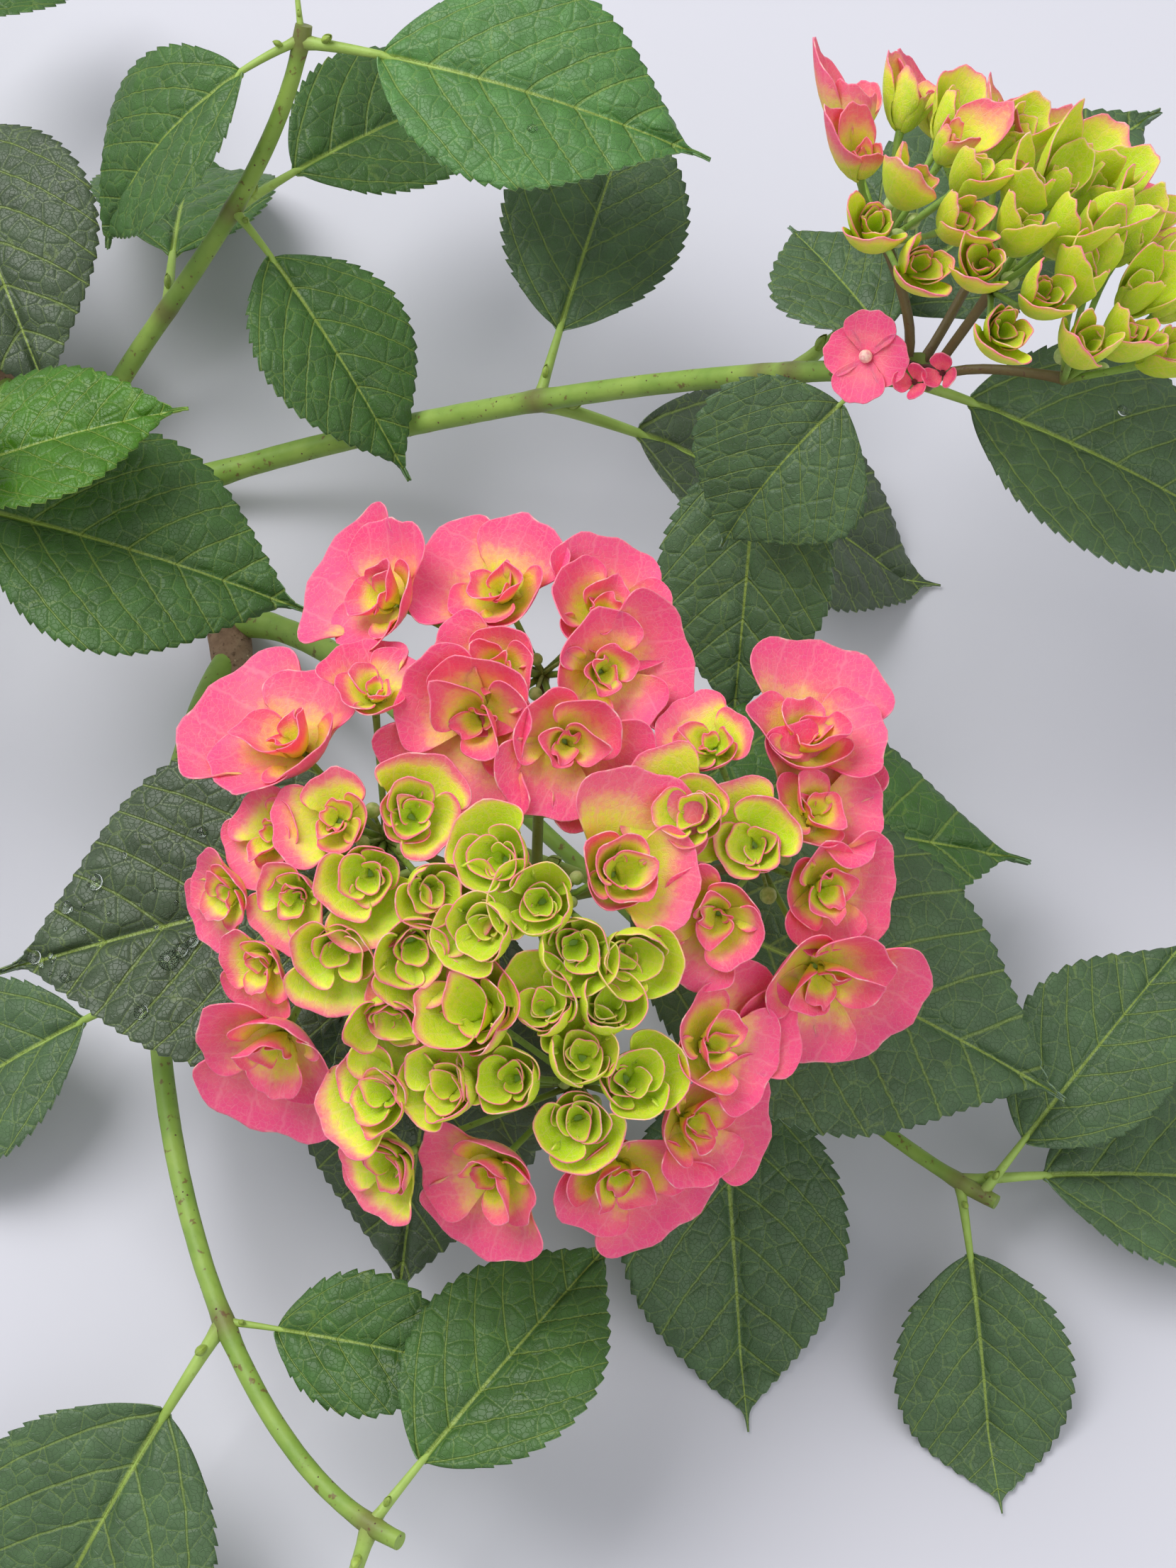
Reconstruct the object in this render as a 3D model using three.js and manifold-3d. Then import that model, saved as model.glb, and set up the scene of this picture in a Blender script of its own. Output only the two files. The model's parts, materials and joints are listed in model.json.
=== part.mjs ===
// A flowering hydrangea branch, as cut, lying on a level surface.
// Millimetres, +Z up, origin on the surface under the middle of the branch.
//
// A woody stem lies along the surface from its flat cut to a dry stub. Six green shoots rise from it,
// and a seventh from one of those. Two end in a flower head: one large and half open, one smaller and
// younger. Leaves stand along the shoots, each with its own stalk. A head is made of rays, and each ray
// carries one cluster of cup-shaped florets on thin stalks.

import * as THREE from "three";
import { mergeVertices } from "three/addons/utils/BufferGeometryUtils.js";
import Module from "manifold-3d";

const wasm = await Module();
wasm.setup();

const CLEAR = 0.3; // the gap kept between two pieces that meet
const SAME_PLACE = 1e-4; // corners nearer than this are one
const DEG = Math.PI / 180;
const GOLDEN_ANGLE = 137.508 * DEG;
const MIDDLE = [-41.07, 44.86]; // of the branch's footprint, in the plan that the places below use
const LIFT = 0.015; // brings the stem's lowest facet up to the surface where the stem tapers

// The woody stem, on the surface: its route in plan, from the cut to the stub.
const STEM = {
  route: [[-212, 206], [-178, 191], [-142, 170], [-112, 142], [-96, 112], [-90, 84]],
  cutRadius: 7.2,
  stubRadius: 5.2,
  sides: 10,
  steps: 12,
};

// Shoots: where each leaves its parent, the way it sets out and how far it keeps to that way, the point
// that its last stretch comes from, its tip, and its radii at foot and tip.
const SHOOTS = {
  main_bloom: {
    on: "stem", at: 0.9, out: [0.9, -0.3, 0.5], reach: 46,
    from: [-13, 12, 56], tip: [-11, -12, 88], radii: [3.3, 2.6],
  },
  young_bloom: {
    on: "stem", at: 0.66, out: [0.9, 0.1, 0.35], reach: 70,
    from: [30, 128, 84], tip: [72, 99, 122], radii: [3.1, 2.3],
  },
  back: {
    on: "stem", at: 0.5, out: [0.35, 0.3, 0.6], reach: 34,
    from: [-76, 182, 80], tip: [-68, 206, 112], radii: [2.8, 1.9],
  },
  rear: {
    on: "stem", at: 0.26, out: [0.1, 0.7, 0.5], reach: 22,
    from: [-178, 238, 30], tip: [-180, 250, 58], radii: [2.5, 1.8],
  },
  left: {
    on: "stem", at: 0.36, out: [-0.5, -0.7, 0.45], reach: 26,
    from: [-164, 112, 48], tip: [-162, 98, 74], radii: [2.6, 1.8],
  },
  front: {
    on: "stem", at: 0.97, out: [-0.3, -0.8, 0.35], reach: 76,
    from: [-92, -110, 30], tip: [-38, -137, 52], radii: [2.9, 1.9],
  },
  right: {
    on: "main_bloom", at: 0.42, out: [0.8, -0.6, -0.1], reach: 40,
    from: [50, -30, 12], tip: [92, -58, 24], radii: [2.1, 1.6],
  },
};
const SHOOT_SIDES = 8;
const SHOOT_STEPS = 9;
const HUB_SWELL = 1.75; // how much a flowering shoot thickens at its tip, where the rays part
const HUB_START = 0.9; // how far up that thickening begins
const FOOT_SWELL = 0.35;
const FOOT_END = 0.1; // how far up the foot's thickening ends
const FOOT_DEPTH = 0.4; // where in its parent a limb starts, as a share of the parent's radius

// Leaves of each shoot: how far up the shoot, where the tip is, how many degrees the midrib bends down
// on its way there, the blade's width over its length, and how far it rolls to one side. A tip below
// the surface is one that lies on it.
const LEAVES = {
  main_bloom: [
    [0.84, [-130, -16, 58], 20, 0.78, -6],
    [0.84, [106, -40, 42], 36, 0.66, 6],
    [0.68, [-43, -80, 14], 36, 0.64, 8],
    [0.72, [106, 26, 24], 30, 0.56, -4],
    [0.975, [-56, -42, 64], 16, 0.6, 0],
  ],
  young_bloom: [
    [0.95, [30, 76, 86], 56, 0.98, -24],
    [0.95, [158, 78, 78], 28, 0.62, 4],
    [0.84, [138, 190, 100], 24, 0.66, -8],
    [0.8, [34, 50, 46], 40, 0.6, 10],
    [0.5, [14, 224, 70], 20, 0.62, 6],
    [0.5, [92, 116, -12], 44, 0.56, -6],
    [0.985, [46, 146, 112], 20, 0.8, 0],
  ],
  back: [
    [0.6, [-18, 245, 48], 28, 0.6, 8],
    [0.6, [-45, 126, 36], 46, 0.62, -8],
    [0.97, [29, 172, 104], 24, 0.66, 10],
    [0.97, [-122, 180, 60], 66, 0.72, 6],
    [0.99, [-74, 252, 138], 20, 0.5, 0],
    [0.32, [-112, 262, -12], 50, 0.6, 5],
  ],
  rear: [
    [0.85, [-137, 148, 34], 44, 0.7, 8],
    [0.85, [-254, 262, -14], 50, 0.64, -6],
    [0.97, [-140, 306, 34], 40, 0.62, 4],
    [0.97, [-214, 176, 44], 40, 0.6, -10],
  ],
  left: [
    [0.96, [-93, 114, 86], 24, 0.7, -6],
    [0.9, [-67, 80, 50], 24, 0.72, 6],
    [0.55, [-246, 66, -14], 44, 0.62, 4],
    [0.96, [-204, 44, 60], 40, 0.6, -6],
    [0.99, [-134, 104, 102], 20, 0.7, 0],
  ],
  front: [
    [0.97, [6, -72, 46], 24, 0.64, -8],
    [0.97, [-72, -216, -14], 44, 0.62, 6],
    [0.74, [-20, -101, 44], 26, 0.62, 8],
    [0.74, [-130, -172, -6], 40, 0.7, -4],
    [0.4, [-176, -38, -14], 36, 0.62, 6],
  ],
  right: [
    [0.55, [36, -104, -10], 44, 0.62, -6],
    [0.95, [92, -122, -14], 40, 0.62, 6],
    [0.95, [172, -44, -14], 44, 0.62, -6],
    [0.98, [138, 0, 42], 34, 0.6, 4],
  ],
};
const LEAF = {
  widest: 0.42, // how far along the blade it is widest
  stalkShare: 0.24, // stalk length over blade length
  stalkRadius: 1.5, // on a blade of usualBlade
  usualBlade: 85,
  thickness: 1.2,
  fold: 13 * DEG, // how far the halves stand up from the midrib
  arch: 0.55, // how far they bend back down again
  stalkStations: [0, 0.92],
  bladeStations: [0.03, 0.14, 0.3, 0.48, 0.68, 0.85, 1],
  tipWidth: 0.014, // of the blade's length
  sizes: [0.5, 1.2], // the least and most that stalk and thickness follow the blade's length
  slimmest: 1 / 90, // thickness over length
  stalkTop: 0.7, // the stalk's radius where it meets the blade, over its foot's
  roundness: 0.7, // of the blade's base
  drawnOut: 0.8, // how hollow its sides run to the tip
};
const YOUNG_FROM = 0.98; // a leaf this far up its shoot is a young one
const REST_HEIGHT = 3; // a leaf that would come lower than this bends to lie on the surface

// Flower heads. A place on a head is a clock angle round its axis, counterclockwise from the right as
// seen from above it, and a reach from its middle. A ray's third value is the gap kept round its cluster.
const HEADS = {
  main: {
    shoot: "main_bloom",
    axis: [0, -0.4, 0.92],
    crown: 47, // height of its middle above the hub
    droop: 25, // how much lower its rim is
    reach: 72,
    edge: 0.4, // of a floret's width stays inside that reach
    stretch: 1, // height of a floret over the usual
    openness: 1, // how far its oldest florets have opened
    packing: 0.385, // how near two florets stand, as a share of the sum of their widths
    rays: {
      middle: [0, 5, 0],
      left: [157, 33, 0],
      top: [88, 47, 1],
      lower: [-76, 38, 0],
      right: [10, 47, 9],
    },
    heart: [-75, 18], // where the youngest florets are
    oldReach: 62, // florets this far from the heart are fully out
    youngest: 11.5, // width at the heart
    widening: 0.1, // width added for each millimetre from the heart
    // The widest florets: clock angle, reach, width.
    open: [
      [118, 72, 30], [145, 62, 33], [212, 62, 32], [242, 24, 24], [260, 57, 28], [-72, 60, 30], [-52, 56, 25],
      [-36, 47, 27], [-17, 62, 32], [2, 60, 24], [33, 67, 31], [19, 61, 26], [76, 61, 26], [71, 48, 27],
      [97, 66, 28], [110, 37, 33], [76, 31, 27], [18, 19, 23], [100, 47, 22], [-6, 36, 22],
    ],
  },
  young: {
    shoot: "young_bloom",
    axis: [0.44, 0.27, 0.85],
    crown: 50,
    droop: 17,
    reach: 45,
    edge: 0.4,
    stretch: 2.1,
    openness: 0.45,
    packing: 0.56,
    rays: {
      middle: [0, 3, 0],
      left: [150, 22, 1],
      back: [65, 24, 0],
      right: [-35, 26, 1],
    },
    heart: [-60, 12],
    oldReach: 58,
    youngest: 8.2,
    widening: 0.04,
    open: [
      [168, 37, 12], [138, 42, 12.5], [100, 41, 12], [150, 22, 10.5], [82, 21, 11.5], [38, 39, 12.5],
      [-4, 40, 11.5],
    ],
  },
};
const CANDIDATES = 700; // places tried on a head for its smaller florets
const FLORET = {
  wall: 0.8,
  broad: 21, // a floret this wide has notches between its sepals
  footAngle: 82 * DEG, // how flat the cup's foot spreads
  shutAngle: -24 * DEG, // the rim's lean in a bud
  openAngle: 52 * DEG, // and in a fully open floret
  outerAge: 0.22, // how much further its outer side has opened
  outerLength: 0.12, // and how much longer that side is
  turns: 40, // it is turned on its stalk by up to so many degrees
  waist: 0.52, // where a bud has a ring of points between its foot and its rim
  crown: 0.8, // height of a bud's top over its rim's
  depth: 0.3, // from its foot to the dome, over its width
  upright: 1.6, // how far its axis follows its stalk, against the head's axis
  sway: 0.18, // and how far it may lean from that
  stalkRadius: 0.75,
  stalkSides: 3,
  stalkFoot: -0.8, // height of the stalk's foot over the ray's top
  stalkSunk: 0.7, // how far the stalk's end reaches into the wall
};
// The points round a cup's rim: angle, and length over the whole sepal's.
const BUD_RIM = [0, 60, 120, 180, 240, 300].map((angle) => [angle, 1]);
const SEPAL_HALF = 27; // degrees from the middle of a sepal to each corner of its edge
const NOTCH = 0.78;
const BROAD_RIM = [0, 90, 180, 270].flatMap((sepal) => [
  [sepal - SEPAL_HALF, 1],
  [sepal + SEPAL_HALF, 1],
  [sepal + 45, NOTCH],
]);
const RAY = {
  radius: 1.25,
  ring: 3.1, // how far from the head's axis the rays' feet stand
  foot: -2, // their height on the hub
  rise: 9, // how far a ray rises before it bends out
  sides: 6,
  steps: 4,
  below: 25, // of a ray's top under the florets
};
const HUB = { foot: -1, height: 4 }; // the knot that the rays part from
const OPEN_LEAD = 0.3; // how much older the named wide florets are than their place says
const CLOSED_LEAD = -0.08; // and the others
const LEAST_AGE = 0.05;
const SEED = { turn: 2, swayRight: 21, swayUp: 22 }; // which of a floret's chances each thing follows

const LOOKS = {
  bark: new THREE.MeshStandardMaterial({ color: 0x7a5f45, roughness: 0.9, metalness: 0 }),
  shoot: new THREE.MeshStandardMaterial({ color: 0x7d9a3a, roughness: 0.6, metalness: 0 }),
  leaf: new THREE.MeshStandardMaterial({ color: 0x3f5e38, roughness: 0.55, metalness: 0 }),
  youngLeaf: new THREE.MeshStandardMaterial({ color: 0x5f9a25, roughness: 0.5, metalness: 0 }),
  mainFlorets: new THREE.MeshStandardMaterial({ color: 0xdd5a6c, roughness: 0.6, metalness: 0 }),
  youngFlorets: new THREE.MeshStandardMaterial({ color: 0xb5c442, roughness: 0.6, metalness: 0 }),
};

const vector = (p) => new THREE.Vector3(p[0], p[1], p[2] ?? 0);
const mix = (a, b, t) => a + (b - a) * t;
const clamp = (x, low, high) => Math.min(high, Math.max(low, x));

// A repeatable number from 0 to 1 for each pair of whole numbers.
function chance(i, k) {
  const x = Math.sin(i * 12.9898 + k * 78.233) * 43758.5453;
  return x - Math.floor(x);
}

// The same, from minus to plus the amount.
function swing(i, k, amount) {
  return (chance(i, k) * 2 - 1) * amount;
}

function direction(azimuth, rise) {
  return new THREE.Vector3(
    Math.cos(azimuth) * Math.cos(rise),
    Math.sin(azimuth) * Math.cos(rise),
    Math.sin(rise),
  );
}

// Closed surfaces and solids

function geometryOf(points, faces) {
  const g = new THREE.BufferGeometry();
  g.setAttribute("position", new THREE.Float32BufferAttribute(points.flatMap((p) => [p.x, p.y, p.z]), 3));
  g.setIndex(faces);
  return g;
}

function solidOf(geometry) {
  const merged = mergeVertices(geometry, SAME_PLACE);
  return new wasm.Manifold(
    new wasm.Mesh({
      numProp: 3,
      vertProperties: merged.attributes.position.array,
      triVerts: new Uint32Array(merged.index.array),
    }),
  );
}

function join(solids) {
  return solids.reduce((whole, piece) => whole.add(piece));
}

function largest(solid) {
  return solid.decompose().reduce((a, b) => (b.volume() > a.volume() ? b : a));
}

function meshOf(name, solid, look) {
  const { vertProperties, triVerts, numProp, numVert } = solid.getMesh();
  const places = new Float32Array(numVert * 3);
  for (let i = 0; i < numVert; i++) places.set(vertProperties.subarray(i * numProp, i * numProp + 3), i * 3);
  const g = new THREE.BufferGeometry();
  g.setAttribute("position", new THREE.BufferAttribute(places, 3));
  g.setIndex(new THREE.BufferAttribute(triVerts, 1));
  g.computeVertexNormals();
  const mesh = new THREE.Mesh(g, look);
  mesh.name = name;
  return mesh;
}

// Limbs

// The solid inside a row of closed rings, each with the same number of points.
function ringsSolid(points, sides) {
  const rings = points.length / sides;
  const faces = [];
  for (let i = 0; i < rings - 1; i++)
    for (let j = 0; j < sides; j++) {
      const a = i * sides + j;
      const b = i * sides + ((j + 1) % sides);
      faces.push(a, b, b + sides, a, b + sides, a + sides);
    }
  const last = (rings - 1) * sides;
  const middle = (first) =>
    points
      .slice(first, first + sides)
      .reduce((sum, p) => sum.add(p), new THREE.Vector3())
      .divideScalar(sides);
  const ends = [middle(0), middle(last)];
  const foot = points.length;
  for (let j = 0; j < sides; j++) {
    const k = (j + 1) % sides;
    faces.push(foot, k, j, foot + 1, last + j, last + k);
  }
  return solidOf(geometryOf([...points, ...ends], faces));
}

// A tapering limb along a curve, with flat ends.
function limb(curve, radiusAt, sides, steps, turn) {
  const frames = curve.computeFrenetFrames(steps, false);
  const points = [];
  for (let i = 0; i <= steps; i++) {
    const centre = curve.getPointAt(i / steps);
    const radius = radiusAt(i / steps);
    for (let j = 0; j < sides; j++) {
      const a = (j / sides) * 2 * Math.PI + turn;
      points.push(
        centre
          .clone()
          .addScaledVector(frames.normals[i], Math.cos(a) * radius)
          .addScaledVector(frames.binormals[i], Math.sin(a) * radius),
      );
    }
  }
  return ringsSolid(points, sides);
}

// Where a limb sets out from: inside its parent, on the side that it leaves by.
function footOn(parent, at, way) {
  const along = parent.curve.getTangentAt(at);
  const out = way.clone().addScaledVector(along, -way.dot(along)).normalize();
  return parent.curve.getPointAt(at).addScaledVector(out, parent.radiusAt(at) * FOOT_DEPTH);
}

// The room that a limb needs: a little wider, and longer at its tip.
function roomOf({ curve, radiusAt }, sides, steps, turn) {
  const wide = limb(curve, (t) => radiusAt(t) + CLEAR / Math.cos(Math.PI / sides), sides, steps, turn);
  const tip = curve.getTangentAt(1).multiplyScalar(CLEAR);
  return wide.add(wide.translate([tip.x, tip.y, tip.z]));
}

function makeStem() {
  const radiusAt = (t) => mix(STEM.cutRadius, STEM.stubRadius, t);
  const flatFoot = Math.cos(Math.PI / STEM.sides); // a facet lies on the surface, not a corner
  const last = STEM.route.length - 1;
  const curve = new THREE.CatmullRomCurve3(
    STEM.route.map(([x, y], i) => new THREE.Vector3(x, y, radiusAt(i / last) * flatFoot)),
  );
  const turn = Math.PI / STEM.sides;
  return {
    curve,
    radiusAt,
    solid: limb(curve, radiusAt, STEM.sides, STEM.steps, turn),
    room: roomOf({ curve, radiusAt }, STEM.sides, STEM.steps, turn),
  };
}

function makeShoot(spec, parent) {
  const way = vector(spec.out).normalize();
  const foot = footOn(parent, spec.at, way);
  const curve = new THREE.CubicBezierCurve3(
    foot,
    foot.clone().addScaledVector(way, spec.reach),
    vector(spec.from),
    vector(spec.tip),
  );
  const flowers = Object.values(HEADS).some((head) => SHOOTS[head.shoot] === spec);
  const radiusAt = (t) =>
    mix(spec.radii[0], spec.radii[1], t) *
    (1 + FOOT_SWELL * Math.max(0, 1 - t / FOOT_END)) *
    (1 + (flowers ? (HUB_SWELL - 1) * Math.max(0, (t - HUB_START) / (1 - HUB_START)) : 0));
  return {
    curve,
    radiusAt,
    solid: limb(curve, radiusAt, SHOOT_SIDES, SHOOT_STEPS, 0).subtract(parent.room),
    room: roomOf({ curve, radiusAt }, SHOOT_SIDES, SHOOT_STEPS, 0),
  };
}

// Leaves

// Half the blade's width at x along it, as a share of the widest: a round base and a drawn-out tip.
function outline(x) {
  if (x < LEAF.widest) return (1 - ((LEAF.widest - x) / LEAF.widest) ** 2) ** LEAF.roundness;
  const y = (x - LEAF.widest) / (1 - LEAF.widest);
  return Math.max(0, Math.cos((y * Math.PI) / 2)) ** (1 + LEAF.drawnOut * y);
}

// A point that would come low bends up to lie on the surface.
function onSurface(p, lowest) {
  const high = p.z - lowest;
  if (high < REST_HEIGHT) p.z = lowest + REST_HEIGHT * Math.exp(high / REST_HEIGHT - 1);
  return p;
}

// The line of stalk and midrib: an arc in an upright plane, from a foot to a tip, that bends down.
function midrib(foot, tip, bend) {
  const across = tip.clone().sub(foot);
  const chord = across.length();
  const azimuth = Math.atan2(across.y, across.x);
  const rise = Math.asin(across.z / chord) + bend / 2;
  const length = (chord * (bend / 2)) / Math.sin(bend / 2);
  const pointAt = (s) => {
    const turned = bend * s;
    const flat = ((Math.sin(rise) - Math.sin(rise - turned)) / bend) * length;
    const high = ((Math.cos(rise - turned) - Math.cos(rise)) / bend) * length;
    return foot.clone().add(new THREE.Vector3(Math.cos(azimuth) * flat, Math.sin(azimuth) * flat, high));
  };
  const alongAt = (s) => direction(azimuth, rise - bend * s);
  return { azimuth, rise, length, pointAt, alongAt };
}

// A leaf is rings of eight points along its midrib: round on the stalk, and on the blade from its left
// margin over the top to the right one and back underneath.
const ACROSS = [-1, -0.5, 0, 0.5, 1, 0.5, 0, -0.5]; // from the midrib, over half the blade's width
const SIDE = [0, 0.5, 0.5, 0.5, 0, -0.5, -0.5, -0.5]; // up from the blade's middle, over its thickness

function makeLeaf(shoot, [at, tipPlace, bendDeg, breadth, rollDeg]) {
  const tip = vector(tipPlace);
  const bend = bendDeg * DEG;
  const setOut = midrib(shoot.curve.getPointAt(at), tip, bend).alongAt(0);
  const line = midrib(footOn(shoot, at, setOut), tip, bend);
  const blade = line.length / (1 + LEAF.stalkShare);
  const stalk = line.length - blade;
  const size = clamp(blade / LEAF.usualBlade, ...LEAF.sizes);
  const radius = LEAF.stalkRadius * size;
  const thickness = Math.max(LEAF.thickness * size, blade * LEAF.slimmest);
  const roll = rollDeg * DEG;
  const level = new THREE.Vector3(-Math.sin(line.azimuth), Math.cos(line.azimuth), 0);

  const points = [];
  const addRing = (s, section) => {
    const centre = line.pointAt(s);
    const along = line.alongAt(s);
    const side = level.clone().applyAxisAngle(along, roll);
    const normal = along.clone().cross(side);
    for (const { across, lift, lowest } of section) {
      const p = centre.clone().addScaledVector(side, -across).addScaledVector(normal, lift);
      points.push(onSurface(p, lowest));
    }
  };
  for (const x of LEAF.stalkStations)
    addRing((stalk * x) / line.length, stalkSection(radius * mix(1, LEAF.stalkTop, x)));
  for (const x of LEAF.bladeStations) {
    const half = Math.max((blade * breadth * outline(x)) / 2, blade * LEAF.tipWidth);
    addRing((stalk + blade * x) / line.length, bladeSection(half, thickness));
  }
  return ringsSolid(points, ACROSS.length).subtract(shoot.room);
}

// The points of a stalk's cross-section, across and up from its middle.
function stalkSection(radius) {
  return ACROSS.map((_, j) => {
    const turn = Math.PI * (1 - (2 * j) / ACROSS.length);
    return { across: Math.cos(turn) * radius, lift: Math.sin(turn) * radius, lowest: 0 };
  });
}

// And of the blade's: a fold with its margins bent down.
function bladeSection(half, thickness) {
  return ACROSS.map((share, j) => {
    const lift = (Math.abs(share) - LEAF.arch * share * share) * Math.sin(LEAF.fold) * half;
    return {
      across: share * half * Math.cos(LEAF.fold),
      lift: lift + SIDE[j] * thickness,
      lowest: (SIDE[j] + 0.5) * thickness,
    };
  });
}

// Flower heads

function headFrame(head, hub) {
  const axis = vector(head.axis).normalize();
  const right = new THREE.Vector3(0, 1, 0).cross(axis).normalize();
  const up = axis.clone().cross(right);
  return { hub, axis, right, up };
}

// A place on the head's dome, or so far below it.
function onDome(head, frame, x, y, below = 0) {
  const out = Math.hypot(x, y) / head.reach;
  const high = head.crown - head.droop * out * out - below;
  return frame.hub
    .clone()
    .addScaledVector(frame.right, x)
    .addScaledVector(frame.up, y)
    .addScaledVector(frame.axis, high);
}

const flat = ([clock, reach]) => [Math.cos(clock * DEG) * reach, Math.sin(clock * DEG) * reach];
const apart = (a, b) => Math.hypot(a[0] - b[0], a[1] - b[1]);

// Every floret of a head: the named wide ones first, then smaller ones wherever a spiral of places has
// room for them, clear of the gaps between clusters.
function planFlorets(head) {
  const heart = flat(head.heart);
  const rays = Object.values(head.rays).map((ray) => ({ place: flat(ray), gap: ray[2] }));
  const florets = [];
  const nearest = (place) => {
    const far = rays.map((ray, k) => ({ k, reach: apart(ray.place, place), gap: ray.gap }));
    const [first, second] = far.sort((a, b) => a.reach - b.reach);
    return { ray: first.k, parted: second.reach - first.reach > Math.max(first.gap, second.gap) };
  };
  const add = (place, width, ray, lead) => {
    const age = clamp(apart(place, heart) / head.oldReach + lead, LEAST_AGE, 1);
    florets.push({ place, width, ray, age, number: florets.length });
  };
  for (const [clock, reach, width] of head.open) {
    const place = flat([clock, reach]);
    add(place, width, nearest(place).ray, OPEN_LEAD);
  }
  for (let i = 0; i < CANDIDATES; i++) {
    const reach = head.reach * Math.sqrt((i + 0.5) / CANDIDATES);
    const place = [Math.cos(i * GOLDEN_ANGLE) * reach, Math.sin(i * GOLDEN_ANGLE) * reach];
    const width = head.youngest + head.widening * apart(place, heart);
    const { ray, parted } = nearest(place);
    if (!parted || reach + width * head.edge > head.reach) continue;
    if (florets.some((f) => apart(f.place, place) < (f.width + width) * head.packing)) continue;
    add(place, width, ray, CLOSED_LEAD);
  }
  return florets;
}

// A floret on its stalk's end: a lobed cup where it is broad, and otherwise a bud, closed at the top.
// Its outer side is longer, as that side opens first.
function makeFloret(head, base, axis, outward, floret) {
  const right = outward.clone().addScaledVector(axis, -outward.dot(axis)).normalize();
  const up = axis.clone().cross(right);
  const turn = chance(floret.number, SEED.turn) * FLORET.turns;
  const broad = floret.width >= FLORET.broad;
  const rim = broad ? BROAD_RIM : BUD_RIM;
  const rings = broad ? [1] : [FLORET.waist, 1];
  const inner = [];
  const outer = [];
  for (const [degrees, share] of rim) {
    const a = (degrees + turn) * DEG;
    const outerSide = Math.cos(a);
    const age = clamp(floret.age + FLORET.outerAge * outerSide, 0, 1);
    const rimLean = mix(FLORET.shutAngle, FLORET.openAngle, age * head.openness);
    const bend = FLORET.footAngle - rimLean;
    const spread = (Math.cos(Math.max(rimLean, 0)) - Math.cos(FLORET.footAngle)) / bend;
    const length = ((floret.width / 2) * (1 + FLORET.outerLength * outerSide) * share) / spread;
    const wide = right.clone().multiplyScalar(Math.cos(a)).addScaledVector(up, Math.sin(a));
    for (const s of rings) {
      const lean = FLORET.footAngle - bend * s;
      const out = ((Math.cos(lean) - Math.cos(FLORET.footAngle)) / bend) * length;
      const high = ((Math.sin(FLORET.footAngle) - Math.sin(lean)) / bend) * length * head.stretch;
      const p = base.clone().addScaledVector(wide, out).addScaledVector(axis, high);
      outer.push(p);
      inner.push(
        p
          .clone()
          .addScaledVector(wide, -Math.cos(lean) * FLORET.wall)
          .addScaledVector(axis, Math.sin(lean) * FLORET.wall),
      );
    }
  }
  if (broad) return cupSolid(inner, outer, base.clone().addScaledVector(axis, FLORET.wall), base);
  const high = outer[1].clone().sub(base).dot(axis);
  return budSolid(outer, rings.length, base.clone().addScaledVector(axis, high * FLORET.crown), base);
}

// The solid between two open cones with the same rim angles.
function cupSolid(inner, outer, innerFoot, outerFoot) {
  const count = inner.length;
  const faces = [];
  for (let a = 0; a < count; a++) {
    const b = (a + 1) % count;
    faces.push(2 * count, a, b, 2 * count + 1, b + count, a + count);
    faces.push(a, a + count, b + count, a, b + count, b);
  }
  return solidOf(geometryOf([...inner, ...outer, innerFoot, outerFoot], faces));
}

// The solid inside rings of points, with a point for its foot and one for its top.
function budSolid(skin, rings, top, foot) {
  const count = skin.length;
  const faces = [];
  for (let a = 0; a < count; a += rings) {
    const b = (a + rings) % count;
    faces.push(count, a + rings - 1, b + rings - 1, count + 1, b, a);
    for (let i = 0; i < rings - 1; i++) faces.push(a + i, b + i, b + i + 1, a + i, b + i + 1, a + i + 1);
  }
  return solidOf(geometryOf([...skin, top, foot], faces));
}

// One ray and the florets that it carries, as loose solids.
function rayPieces(head, frame, ray, florets) {
  const [x, y] = flat(ray);
  const junction = onDome(head, frame, x, y, RAY.below);
  const ringed = x || y ? RAY.ring / Math.hypot(x, y) : 0;
  const foot = frame.hub
    .clone()
    .addScaledVector(frame.right, x * ringed)
    .addScaledVector(frame.up, y * ringed)
    .addScaledVector(frame.axis, RAY.foot);
  const bend = foot.clone().addScaledVector(frame.axis, RAY.rise);
  const pieces = [
    limb(new THREE.QuadraticBezierCurve3(foot, bend, junction), () => RAY.radius, RAY.sides, RAY.steps, 0),
  ];
  for (const floret of florets) {
    const top = onDome(head, frame, ...floret.place);
    const outward = top.clone().sub(junction);
    const axis = outward
      .clone()
      .normalize()
      .multiplyScalar(FLORET.upright)
      .add(frame.axis)
      .addScaledVector(frame.right, swing(floret.number, SEED.swayRight, FLORET.sway))
      .addScaledVector(frame.up, swing(floret.number, SEED.swayUp, FLORET.sway))
      .normalize();
    const base = top.clone().addScaledVector(axis, -floret.width * FLORET.depth);
    const start = junction.clone().addScaledVector(frame.axis, FLORET.stalkFoot);
    const end = base.clone().addScaledVector(axis, FLORET.wall * FLORET.stalkSunk);
    pieces.push(
      limb(new THREE.LineCurve3(start, end), () => FLORET.stalkRadius, FLORET.stalkSides, 1, 0),
      makeFloret(head, base, axis, outward, floret),
    );
  }
  return pieces;
}

// A whole flower head, fused, with the rays' feet spread so that they stand round the hub's flat top.
function makeBloom(head, shoot) {
  const frame = headFrame(head, shoot.curve.getPointAt(1));
  const florets = planFlorets(head);
  const pieces = Object.values(head.rays).flatMap((ray, k) =>
    rayPieces(head, frame, ray, florets.filter((floret) => floret.ray === k)),
  );
  return largest(join([makeHub(frame), ...pieces]).subtract(shoot.room));
}

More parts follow.
